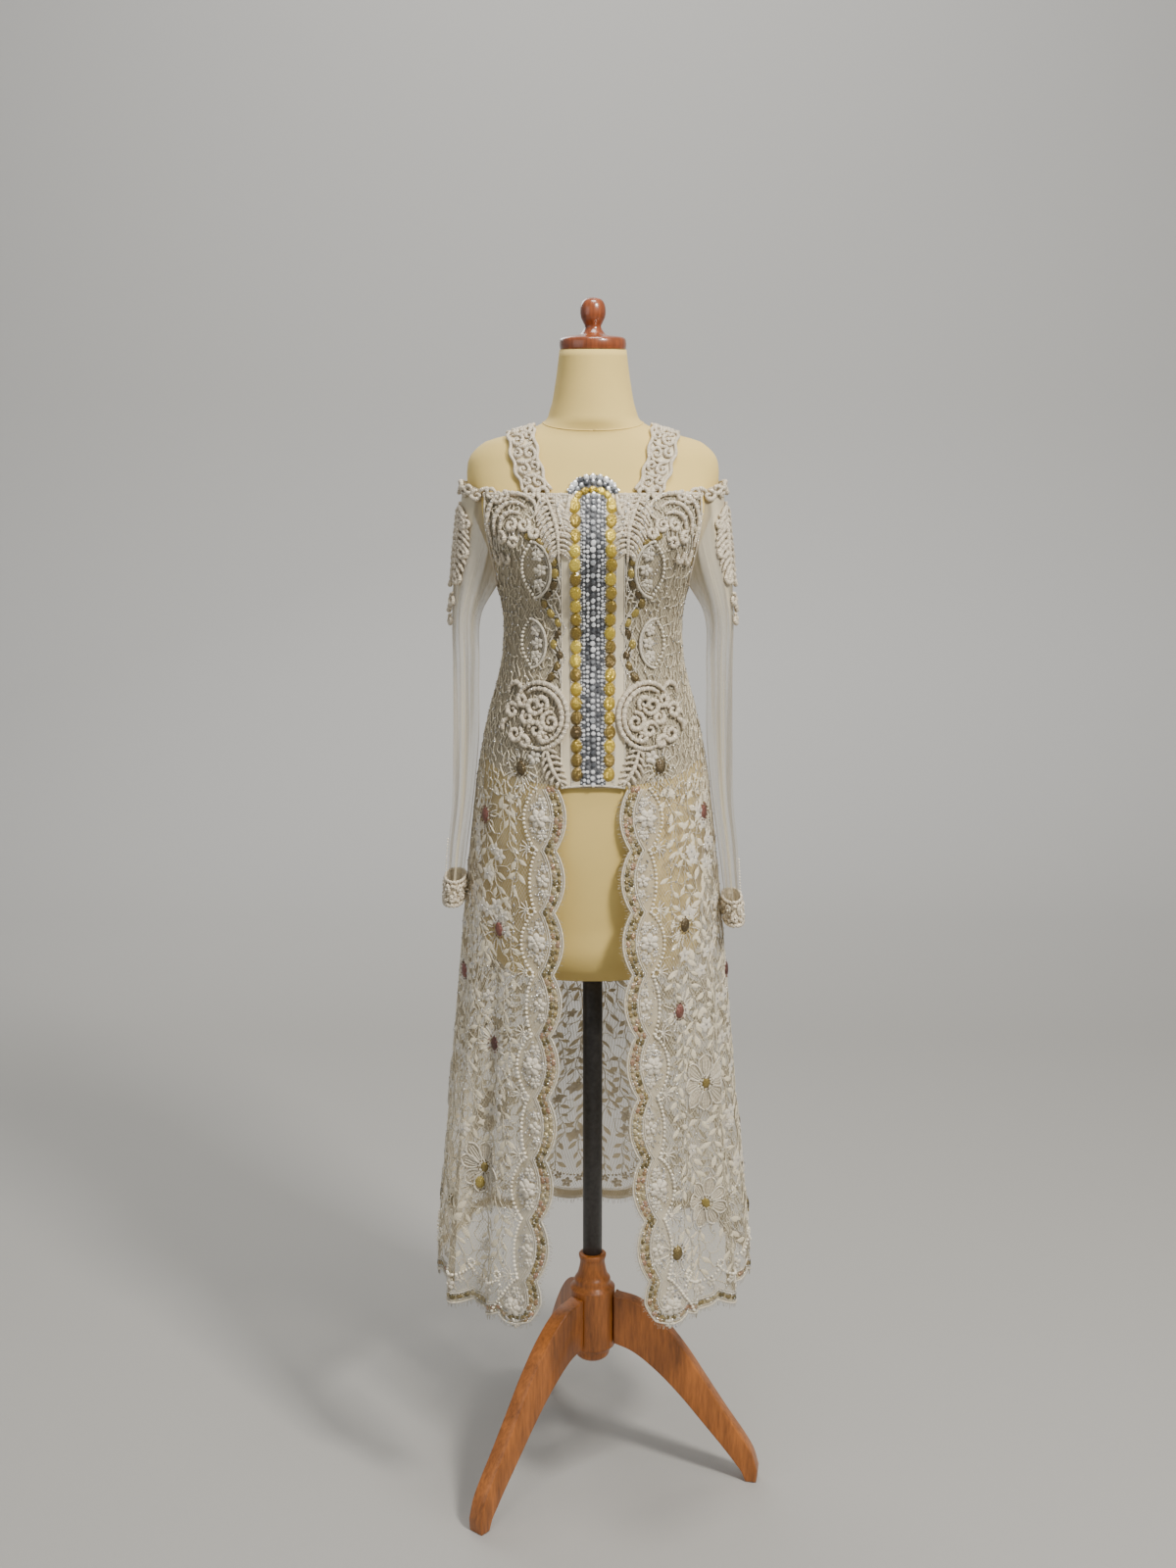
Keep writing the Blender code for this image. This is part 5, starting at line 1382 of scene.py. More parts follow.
# The chain of stones that winds down beside the placket
CHAIN = curve([
    (0.0840, 1.3850), (0.0600, 1.3720), (0.0498, 1.3450), (0.0545, 1.3150), (0.0670, 1.3030), (0.0600, 1.2890),
    (0.0440, 1.2650), (0.0530, 1.2430), (0.0440, 1.2240), (0.0560, 1.1990),
], 0.004)


def cords(batch, chart, paths, radius, sides=6, lift=0.0, flatten=1.0):
    """Padded cords with the small swellings of their stitches."""
    for path in paths:
        line = resample(np.asarray(path, float), 0.0019)
        run = np.arange(len(line))
        swell = 1 + 0.13 * np.sin(run * 1.55 + RANDOM.uniform(0, 6)) + RANDOM.uniform(-0.09, 0.09, len(line))
        strand(batch, chart, line, radius * swell, sides, lift, taper=True, flatten=flatten)


def build_bodice_trim(side_name):
    """Guipure scrolls, half-moon medallions and the winding chain of stones on one front."""
    body = BODY[side_name]
    bust, waist, fine, pearls, flowers, stones, beads = (Batch() for _ in range(7))
    cords(bust, body, BUST_CORDS, 0.0031, 8, 0.001)
    cords(bust, body, BUST_LEAF[:1] + BUST_CURL[:1], 0.0026, 8, 0.0015)
    cords(bust, body, BUST_LEAF[1:], 0.0023, 7, 0.001)
    cords(bust, body, BUST_CURL[1:], 0.0017, 6, 0.001)
    cords(fine, body, BUST_RAYS, 0.0011, 5, 0.0005)
    cords(waist, body, WAIST_CORDS, 0.0036, 8, 0.0012)
    cords(waist, body, WAIST_TAIL[:1], 0.0028, 8, 0.001)
    cords(waist, body, WAIST_TAIL[1:], 0.0023, 7, 0.001)
    stamp(flowers, body, DISC, rosette(*WAIST_FLOWER, 0.0090), 0.001)
    stamp(flowers, body, DISC, rosette(0.0400, 1.4330, 0.0075), 0.001)
    for a, b, wide, tall, hand in MEDALLIONS:
        rim = arc((a, b), (wide, tall), 95, 268)
        strand(fine, body, rim, 0.0019, 7, 0.0006)
        for k in range(5):
            start = rim[int((k + 0.5) / 5 * (len(rim) - 1))]
            middle = np.array((a - wide * 0.25, b + (start[1] - b) * 0.75))
            stem_line = bowed(start[None], middle[None], [0.25])[0]
            cords(fine, body, [spiral(middle, 0.0050, 0.0012, 80 * k, 400), stem_line], 0.0011, 6, 0.0005)
        strand(fine, body, arc((a, b), (wide * 0.86, tall * 0.88), 100, 262), 0.0008, 5, 0.0006)
        chord = curve([
            (a, b + tall), (a + 0.012, b + tall * 0.45), (a + 0.013, b - tall * 0.3), (a - 0.002, b - tall),
        ])
        stamp(pearls, body, BALL, along(chord, 0.0056, 0.0042, 0.0042, 0.0040), 0.0004)
        for k in (-1, 0, 1):
            spot_a, spot_b = a - wide * (0.32 if k else 0.45), b + k * tall * 0.52
            stamp(flowers, body, DISC, rosette(spot_a, spot_b, 0.0078, 5, 30 * k), 0.0006)
            stamp(pearls, body, BEAD, [(spot_a, spot_b, 0, 0.003, 0.003, 0.003)], 0.0015)
        thrown = RANDOM.uniform(-0.85, 0.3, (44, 2)) * (1, 1.6) + (0, 0.45)
        filled = [
            (a + wide * x, b + tall * y, 0, 0.0022, 0.0022, 0.0022) for x, y in thrown if x * x + y * y < 0.8
        ]
        stamp(beads, body, BEAD, filled)
    for z in np.arange(1.340, 1.190, -0.0250):
        cords(fine, body, [
            curve([(0.0500, z), (0.0455, z - 0.0080), (0.0430, z - 0.0170), (0.0445, z - 0.0260)]),
            curve([(0.0520, z - 0.0090), (0.0470, z - 0.0100), (0.0425, z - 0.0060)]),
        ], 0.0011, 5, 0.0012)
    stem = CHAIN + (0.0045, 0.0)
    strand(fine, body, stem, 0.0010, 5, 0.0004)
    strand(fine, body, CHAIN - (0.0065, 0.0), 0.0009, 5, 0.0004)
    stamp(stones, body, OVAL, along(CHAIN, 0.0158, 0.0102, 0.0142, 0.0030, 0.2), 0.0010)
    stamp(beads, body, BEAD, along(CHAIN - (0.0080, 0.0), 0.0042, 0.0022, 0.0022, 0.0022))
    for path in BUST_CORDS[:3] + WAIST_CORDS[:2] + BUST_LEAF[1:]:
        line = resample(np.asarray(path, float), 0.0105)[1:-1]
        line = line + RANDOM.uniform(-0.0025, 0.0025, line.shape)
        stamp(beads, body, BEAD, joined(line[:, 0], line[:, 1], 0, 0.0021, 0.0030, 0.0021), 0.0052)
    piece(f"bust_cords_{side_name}", bust, LOOKS["cord"], [f"bust_scroll_{side_name}"])
    piece(f"waist_cords_{side_name}", waist, LOOKS["cord"], [f"waist_scroll_{side_name}"])
    piece(f"bodice_lines_{side_name}", fine, LOOKS["white_cord"])
    piece(f"bodice_pearls_{side_name}", pearls, LOOKS["pearl"])
    piece(f"bodice_flowers_{side_name}", flowers, LOOKS["petal"])
    piece(f"bodice_chain_{side_name}", stones, LOOKS["bronze"])
    piece(f"bodice_beads_{side_name}", beads, LOOKS["silver_bead"])


PLACKET_TOP_Z, PLACKET_BOTTOM_Z = 1.4375, 1.0560
PLACKET_HALF_TOP, PLACKET_HALF_BOTTOM = 0.0305, 0.0280
GOLD_STONES = 20
# Columns: distance from the centre, stone size, pitch
STONE_COLUMNS = (
    (0.0, 0.0074, 0.0084), (0.0068, 0.0050, 0.0062), (0.0120, 0.0044, 0.0054), (0.0153, 0.0026, 0.0036),
)


def placket_half(height):
    down = (PLACKET_TOP_Z - np.asarray(height, float)) / (PLACKET_TOP_Z - PLACKET_BOTTOM_Z)
    return PLACKET_HALF_TOP + (PLACKET_HALF_BOTTOM - PLACKET_HALF_TOP) * down


def build_placket():
    """Cream facing with the jewelled band over it: gold stones, cut stones and the arched fan."""
    u = np.linspace(-1, 1, 33)[None, :]
    v = np.linspace(0, 1, 100)[:, None]
    low = 1.0545 + 0.0035 * (1 - u**2)
    z = 1.4400 + (low - 1.4400) * v
    half = 0.0405 + 0.002 * v
    facing = cloth_patch(CENTRE, u * half, z, 0.0006 + 0.0006 * np.cos(u * math.pi / 2) ** 0.5 + 0 * v)
    piece("front_facing", facing, LOOKS["facing"])
    rim = Batch()
    for hand in (-1, 1):
        z = np.linspace(1.4400, 1.0560, 120)
        strand(rim, CENTRE, np.stack([hand * (0.0405 + 0.002 * (1.44 - z) / 0.384), z], axis=1), 0.0010, 5)
        edge = np.stack([hand * (placket_half(z) + 0.0004), z], axis=1)
        strand(rim, CENTRE, edge[1:], 0.0009, 5, 0.001)
    x = np.linspace(-0.0425, 0.0425, 30)
    strand(rim, CENTRE, np.stack([x, 1.0545 + 0.0035 * (1 - (x / 0.0425) ** 2)], axis=1), 0.0016, 6)
    piece("facing_edges", rim, LOOKS["white_cord"])

    z = np.linspace(PLACKET_TOP_Z, PLACKET_BOTTOM_Z, 100)[:, None]
    base = cloth_patch(CENTRE, np.linspace(-1, 1, 21)[None, :] * placket_half(z), z, 0.0018)
    piece("placket_cloth", base, LOOKS["facing"])
    # Near-black bed under the cut stones: painted shade between them
    bed = cloth_patch(CENTRE, np.linspace(-1, 1, 13)[None, :] * 0.0168, z, 0.0020)
    piece("stone_bed", bed, LOOKS["stone_bed"])

    gold, clear, small = Batch(), Batch(), Batch()
    gem = gem_shape(12)
    pitch = (PLACKET_TOP_Z - PLACKET_BOTTOM_Z - 0.012) / GOLD_STONES
    for hand in (-1, 1):
        z = PLACKET_TOP_Z - 0.014 - pitch * np.arange(GOLD_STONES)
        count = len(z)
        wobble = RANDOM.uniform(-0.0006, 0.0006, count)
        spots = np.stack([
            hand * (placket_half(z) - 0.0068) + wobble, z, RANDOM.uniform(-8, 8, count),
            np.full(count, 0.0158), np.full(count, 0.0190), np.full(count, 0.0046),
        ], axis=1)
        stamp(gold, CENTRE, gem, spots, 0.0018)
        between = spots.copy()
        between[:, 1] -= pitch / 2
        between[:, 0] += hand * 0.0052
        between[:, 3:] = 0.0024
        stamp(small, CENTRE, BEAD, between, 0.0018)
    turn = np.radians(np.linspace(8, 172, 7))
    arch = np.stack([
        0.0232 * np.cos(turn), 1.4275 + 0.0165 * np.sin(turn), np.degrees(turn) , np.full(7, 0.0095),
        np.full(7, 0.0120), np.full(7, 0.0040),
    ], axis=1)
    stamp(gold, CENTRE, gem, arch, 0.0018)
    for across, size, step in STONE_COLUMNS:
        for hand in ((1,) if across == 0 else (-1, 1)):
            top = 1.4370 - (across / 0.0153) ** 2 * 0.008
            z = np.arange(top, PLACKET_BOTTOM_Z + 0.003, -step)
            count = len(z)
            dims = size * RANDOM.uniform(0.80, 1.16, count)
            a = hand * across + RANDOM.uniform(-0.0008, 0.0008, count)
            twist = RANDOM.uniform(0, 45, count)
            stamp(clear, CENTRE, GEM, joined(a, z, twist, dims, dims, dims * 0.62), 0.0020)
    for radii, count, size in (
        ((0.0300, 0.0225), 11, 0.0086), ((0.0222, 0.0158), 9, 0.0070), ((0.0305, 0.0225), 10, 0.0040),
    ):
        shift = 0.5 if size < 0.005 else 0.0
        turn = np.radians(np.linspace(4, 176, count)) + shift * math.radians(172 / (count - 1))
        scale = 1.10 if shift else 1.0
        spots = np.stack([
            scale * radii[0] * np.cos(turn), 1.4385 + scale * radii[1] * np.sin(turn), np.degrees(turn),
            np.full(count, size), np.full(count, size), np.full(count, size * 0.6),
        ], axis=1)
        stamp(clear, CENTRE, GEM, spots, -0.0006)
    piece("placket_gold", gold, LOOKS["gold"], ["placket"], sharp=True)
    piece("placket_stones", clear, LOOKS["crystal"], ["placket_fan"], sharp=True)
    piece("placket_beads", small, LOOKS["silver_bead"])
    turn = np.radians(np.linspace(0, 180, 25))[None, :]
    out = np.linspace(0.0, 1, 7)[:, None]
    a, b = out * 0.0345 * np.cos(turn), 1.4380 + out * 0.0262 * np.sin(turn)
    # Near-black backing behind the fan of stones: painted shade between them
    backing = cloth_patch(CENTRE, a, b, -0.0012)
    piece("fan_cloth", backing, LOOKS["stone_bed"])


def build_strap(side_name):
    """Guipure strap over a shoulder: a cloth base under scrolled cords."""
    chart = strap_chart(side_name)
    u = np.linspace(-1, 1, 15)[None, :]
    b = np.linspace(0, STRAP_LONG, 90)[:, None]
    half = STRAP_HALF + 0.0016 * np.cos(b * 2 * math.pi / 0.027)
    base = cloth_patch(chart, u * half, b, 0.0006)
    piece(f"strap_{side_name}_cloth", base, LOOKS["facing"])
    batch, beads = Batch(), Batch()
    z = np.linspace(0, STRAP_LONG, 110)
    wave = 0.0016 * np.cos(z * 2 * math.pi / 0.027)
    for hand in (-1, 1):
        strand(batch, chart, np.stack([hand * (STRAP_HALF - 0.0012 + wave), z], axis=1), 0.0024, 7, 0.0006)
    count = 11
    for k in range(count):
        b0 = STRAP_LONG * (k + 0.5) / count
        hand = 1 if k % 2 else -1
        batch_paths = [
            spiral((hand * 0.0062, b0), 0.0088, 0.0020, 90 if hand > 0 else -90, hand * 450),
            spiral((-hand * 0.0088, b0 + 0.0030), 0.0060, 0.0018, -90 if hand > 0 else 90, -hand * 400),
            curve([(hand * 0.0060, b0 - 0.0090), (-hand * 0.005, b0 - 0.0105), (-hand * 0.0125, b0 - 0.006)]),
        ]
        cords(batch, chart, batch_paths, 0.0027, 8, 0.0010)
        stamp(beads, chart, BEAD, [(hand * 0.0060, b0, 0, 0.0028, 0.0028, 0.0028)], 0.0030)
    piece(f"strap_{side_name}_cords", batch, LOOKS["cord"], [f"strap_{side_name}"])
    piece(f"strap_{side_name}_beads", beads, LOOKS["pearl"])


def build_sleeve_trim(side_name):
    """Guipure along the sleeve's top and upper arm, and the corded cuff with its beads."""
    chart = sleeve_chart(side_name, 0.0010)
    arm, cuff, beads = Batch(), Batch(), Batch()
    paths = acanthus((0.0120, 1.4250), (0.0200, 1.3150), 0.040, 0.003, 11)
    for a, b, radius, begin, sweep in (
        (0.0300, 1.3980, 0.0100, 90, 430), (-0.0060, 1.3900, 0.0095, 60, -430), (0.0330, 1.3600, 0.0095, 120, 430),
        (-0.0020, 1.3550, 0.0090, 40, -430), (0.0300, 1.3250, 0.0090, 100, 430), (0.0040, 1.3200, 0.0095, 70, -430),
        (0.0220, 1.2950, 0.0095, 100, 430), (0.0080, 1.2850, 0.0080, 60, -430), (0.0190, 1.2680, 0.0075, 90, 430),
    ):
        paths.append(spiral((a, b), radius, 0.0020, begin, sweep))
    for k in range(11):
        a = -0.0520 + 0.0104 * k
        b = 1.4370 + 0.0100 * math.cos(a / ARM_RADIUS) - (0.0060 if k % 2 else 0.0)
        paths.append(spiral((a, b), 0.0072, 0.0018, 90 * (k % 4), 420 if k % 2 else -420))
    cords(arm, chart, paths, 0.0031, 8, 0.0004)
    piece(f"arm_cords_{side_name}", arm, LOOKS["cord"], [f"arm_scroll_{side_name}"])
    bottom = CUFF_BOTTOM[side_name]
    a = np.linspace(-math.pi, math.pi, 73)[None, :] * ARM_RADIUS
    b = np.linspace(bottom, bottom + CUFF_TALL, 12)[:, None]
    cloth = cloth_patch(chart, a, b, 0.0008)
    piece(f"cuff_{side_name}_cloth", cloth, LOOKS["facing"])
    around = np.linspace(-math.pi, math.pi, 120) * ARM_RADIUS
    for b0, radius in ((bottom + 0.0020, 0.0024), (bottom + 0.0340, 0.0018)):
        strand(cuff, chart, np.stack([around, b0 + 0.0012 * np.sin(around * 600)], axis=1), radius, 7, 0.0006)
    curls = []
    for k in range(14):
        a0 = (-math.pi + 2 * math.pi * (k + 0.5) / 14) * ARM_RADIUS
        hand = 1 if k % 2 else -1
        curls.append(spiral((a0, bottom + 0.0180 + hand * 0.0050), 0.0078, 0.0018, -90 * hand, 430 * hand))
        low_line = ((-0.006, 0.008), (0.0, 0.011), (0.006, 0.006))
        curls.append(curve([(a0 + aside, bottom + 0.018 - hand * down) for aside, down in low_line]))
        stamp(beads, chart, BALL, [(a0, bottom + 0.0180 + hand * 0.0050, 0, 0.0034, 0.0034, 0.0034)], 0.0030)
    cords(cuff, chart, curls, 0.0026, 8, 0.0006)
    seam = np.stack([np.full(14, 0.004), np.linspace(bottom + 0.036, bottom + 0.085, 14)], axis=1)
    stamp(beads, chart, BEAD, along(seam, 0.0040, 0.0030, 0.0030, 0.0030))
    piece(f"cuff_{side_name}_cords", cuff, LOOKS["cord"], [f"cuff_{side_name}"])
    piece(f"cuff_{side_name}_beads", beads, LOOKS["pearl"])


def honeycomb(a_span, b_span, wide, tall, jitter):
    """Threads of an irregular honeycomb of cells, as pairs of places."""
    columns = int((a_span[1] - a_span[0]) / wide * 2) + 3
    rows = int((b_span[1] - b_span[0]) / (0.75 * tall)) + 2
    j, i = np.meshgrid(np.arange(rows), np.arange(columns), indexing="ij")
    odd = (i + j) % 2
    corners = np.stack([a_span[0] + i * wide / 2, b_span[0] + (j + odd / 3) * 0.75 * tall], axis=-1)
    corners = corners + RANDOM.uniform(-jitter, jitter, corners.shape) * (wide, tall)
    beside = np.stack([corners[:, :-1], corners[:, 1:]], axis=2).reshape(-1, 2, 2)
    upright = np.stack([corners[:-1], corners[1:]], axis=2)[odd[:-1] == 1]
    return np.concatenate([beside, upright])


def edge_a(body, height, inside=0.0):
    """Distance along the cloth of the scalloped front edge, moved in from it."""
    return body.from_x(front_edge_x(height), height) + inside


def border_a(body, height):
    return body.from_x(border_line(np.asarray(height, float)), height)


BIG_FLOWERS = {
    "left": ((0.176, 0.528, 0.040, 10), (0.340, 0.600, 0.036, 60), (0.520, 0.500, 0.038, 25)),
    "right": ((0.1725, 0.645, 0.040, 0), (0.178, 0.480, 0.036, 30), (0.350, 0.540, 0.037, 40), (0.530, 0.620, 0.036, 5)),
}
STARBURSTS = {
    "left": (
        (0.1634, 1.008, "rose"), (0.2317, 0.781, "rose"), (0.1348, 0.859, "rose"), (0.0980, 1.0780, "gold"),
        (0.1838, 0.507, "gold"), (0.2905, 0.447, "gold"), (0.150, 0.700, "rose"), (0.300, 0.900, "rose"),
        (0.420, 0.740, "rose"), (0.350, 0.440, "gold"), (0.460, 0.960, "gold"),
    ),
    "right": (
        (0.1723, 1.010, "rose"), (0.2554, 0.778, "rose"), (0.1320, 0.865, "gold"), (0.1230, 0.751, "rose"),
        (0.0920, 1.0800, "gold"), (0.120, 0.426, "gold"), (0.2700, 0.455, "gold"), (0.310, 0.930, "rose"),
        (0.400, 0.700, "rose"), (0.470, 0.880, "gold"), (0.340, 0.430, "gold"),
    ),
}


def free_of(side_name, places, margin=1.0):
    """Which places are clear of the large flowers."""
    clear = np.ones(len(places), bool)
    for a, b, radius, turn in BIG_FLOWERS[side_name]:
        clear &= np.hypot(places[:, 0] - a, places[:, 1] - b) > radius * margin
    return clear


def build_lower_lace(side_name):
    """Cords, leaves and small flowers worked on the net between waist and hem."""
    body = BODY[side_name]
    cords_batch, leaves, blossoms, sparkle = (Batch() for _ in range(4))
    pairs = honeycomb((0.06, 0.66), (HEM_Z + 0.006, WAIST_SPLIT_Z), 0.0200, 0.0265, 0.22)
    middle = pairs.mean(axis=1)
    inside = (middle[:, 0] > border_a(body, middle[:, 1]) - 0.010) & (middle[:, 1] < WAIST_SPLIT_Z)
    inside &= pairs[:, :, 0].max(axis=1) < body.end_at(middle[:, 1]) + 0.004
    inside &= free_of(side_name, middle, 0.8)
    pairs = pairs[inside & (RANDOM.random(len(pairs)) > 0.10)]
    pairs[:, :, 0] = np.minimum(pairs[:, :, 0], body.end_at(pairs[:, :, 1]))
    strands(
        cords_batch, body, bowed(pairs[:, 0], pairs[:, 1], RANDOM.uniform(-0.28, 0.28, len(pairs)), 4),
        RANDOM.uniform(0.0004, 0.00075, len(pairs)), 4,
    )
    vines = []
    for k in range(17):
        share = (k + 0.5) / 17
        z = np.arange(WAIST_SPLIT_Z + RANDOM.uniform(-0.002, 0.014), HEM_Z + 0.030, -0.006)
        low = border_a(body, z) - 0.006
        phase = RANDOM.uniform(0, 2 * math.pi)
        swing = 0.0075 * np.sin(z * 2 * math.pi / RANDOM.uniform(0.10, 0.16) + phase)
        swing += 0.003 * np.sin(z * 130 + phase)
        a = low + (body.end_at(z) - low) * share + swing
        line = np.stack([np.clip(a, low, body.end_at(z)), z], axis=1)
        vines.append(line)
        strand(cords_batch, body, resample(line, 0.007), 0.0007, 4, 0.0003)
    stalks, spots = [], []
    for line in vines:
        places = resample(line, 0.0185)[:-1]
        turn = headings(places)
        for hand in (-1, 1):
            lean = turn + hand * RANDOM.uniform(28, 62, len(places))
            keep = (RANDOM.random(len(places)) > 0.22) & free_of(side_name, places, 0.9)
            long = RANDOM.uniform(0.0135, 0.0205, len(places))
            wide = long * RANDOM.uniform(0.34, 0.46, len(places))
            start = places + 0.0028 * np.stack([-np.sin(np.radians(lean)), np.cos(np.radians(lean))], axis=1)
            spots.append(joined(start[:, 0], start[:, 1], lean, wide, long, 0.0009)[keep])
            stalks.append(np.stack([places, start], axis=1)[keep])
    spots, stalks = np.concatenate(spots), np.concatenate(stalks)
    stamp(leaves, body, LEAF, spots, 0.0007)
    strands(cords_batch, body, bowed(stalks[:, 0], stalks[:, 1], np.zeros(len(stalks)), 2), 0.0007, 4, 0.0004)
    petals, hearts = [], []
    picks = RANDOM.random((400, 2))
    for share, up in picks[:150]:
        b = HEM_Z + 0.045 + up * (WAIST_SPLIT_Z - HEM_Z - 0.075)
        low, high = float(border_a(body, b)) + 0.012, float(body.end_at(b)) - 0.012
        spot = np.array([[low + (high - low) * share, b]])
        if free_of(side_name, spot, 1.35)[0]:
            radius = RANDOM.uniform(0.0065, 0.0095)
            turn = RANDOM.uniform(0, 72)
            petals += [(spot[0, 0], b, turn + 72 * k, radius * 0.9, radius * 1.35, 0.0014) for k in range(5)]
            hearts.append((spot[0, 0], b, 0, 0.0032, 0.0032, 0.0026))
    stamp(blossoms, body, LEAF, petals, 0.0010)
    stamp(sparkle, body, BEAD, hearts, 0.0014)
    glints = middle[inside][RANDOM.random(int(inside.sum())) < 0.24]
    turns = RANDOM.uniform(0, 180, len(glints))
    stamp(sparkle, body, BEAD, np.stack([
        glints[:, 0], glints[:, 1], turns, np.full(len(glints), 0.0019), RANDOM.uniform(0.002, 0.0052, len(glints)),
        np.full(len(glints), 0.0019),
    ], axis=1), 0.0006)
    panel_pieces("lower_cords", side_name, cords_batch, LOOKS["thin_cord"])
    panel_pieces("lower_leaves", side_name, leaves, LOOKS["leaf"])
    panel_pieces("lower_blossoms", side_name, blossoms, LOOKS["petal"])
    panel_pieces("lower_sparkle", side_name, sparkle, LOOKS["silver_bead"])


def build_big_flowers(side_name):
    """Large open flowers outlined in white thread, and the starbursts round coloured ovals."""
    body = BODY[side_name]
    fill, threads = Batch(), Batch()
    ovals = {"gold": Batch(), "rose": Batch()}
    for a, b, radius, turn in BIG_FLOWERS[side_name]:
        count = 8
        for k in range(count):
            angle = math.radians(turn + 360 * k / count + RANDOM.uniform(-6, 6))
            ahead = np.array((math.cos(angle), math.sin(angle)))
            side = np.array((-ahead[1], ahead[0]))
            long = radius * RANDOM.uniform(0.86, 1.05)
            wide = long * 0.50
            here = np.array((a, b)) + ahead * 0.006
            stamp(fill, body, LEAF, [(here[0], here[1], math.degrees(angle) - 90, wide, long - 0.006, 0.0012)], 0.0009)
            for lean in (-0.50, -0.22, 0.0, 0.22, 0.50):
                tip = 0.97 if abs(lean) == 0.5 else 0.78
                path = curve([
                    here, here + ahead * long * 0.34 + side * wide * lean * 0.86,
                    here + ahead * long * 0.66 + side * wide * lean * 0.92,
                    here + ahead * (long - 0.006) * tip + side * wide * lean * (0.12 if tip > 0.9 else 0.8),
                ], 0.0045)
                strand(threads, body, path, 0.0012 if abs(lean) == 0.5 else 0.0007, 4, 0.0016)
        stamp(ovals["gold"], body, OVAL, [(a, b, turn, 0.0120, 0.0170, 0.0035)], 0.0014)
        stamp(ovals["gold"], body, BEAD, ring_spots(a, b, 0.0092, 14, 0.0026), 0.0016)
    for a, b, kind in STARBURSTS[side_name]:
        stamp(ovals[kind], body, OVAL, [(a, b, 0, 0.0155, 0.0205, 0.0036)], 0.0010)
        stamp(ovals[kind], body, BEAD, ring_spots(a, b, 0.0112, 12, 0.0024), 0.0010)
        turn = np.radians(np.arange(18) * 20 + RANDOM.uniform(-5, 5, 18))
        unit = np.stack([np.cos(turn), np.sin(turn) * 1.15], axis=1)
        reach = RANDOM.uniform(0.0180, 0.0290, 18)[:, None]
        starts, ends = (a, b) + unit * 0.0120, (a, b) + unit * reach
        thread_lines = bowed(starts, ends, RANDOM.uniform(-0.12, 0.12, 18), 4)
        strands(threads, body, thread_lines, RANDOM.uniform(0.0008, 0.0013, 18), 4)
    panel_pieces("flower_petals", side_name, fill, LOOKS["sheer_petal"])
    panel_pieces("flower_threads", side_name, threads, LOOKS["white_cord"])
    panel_pieces("gold_ovals", side_name, ovals["gold"], LOOKS["bronze"])
    panel_pieces("rose_ovals", side_name, ovals["rose"], LOOKS["rose"])


BORDER_BAND = 0.0185
NOTCHES = 8


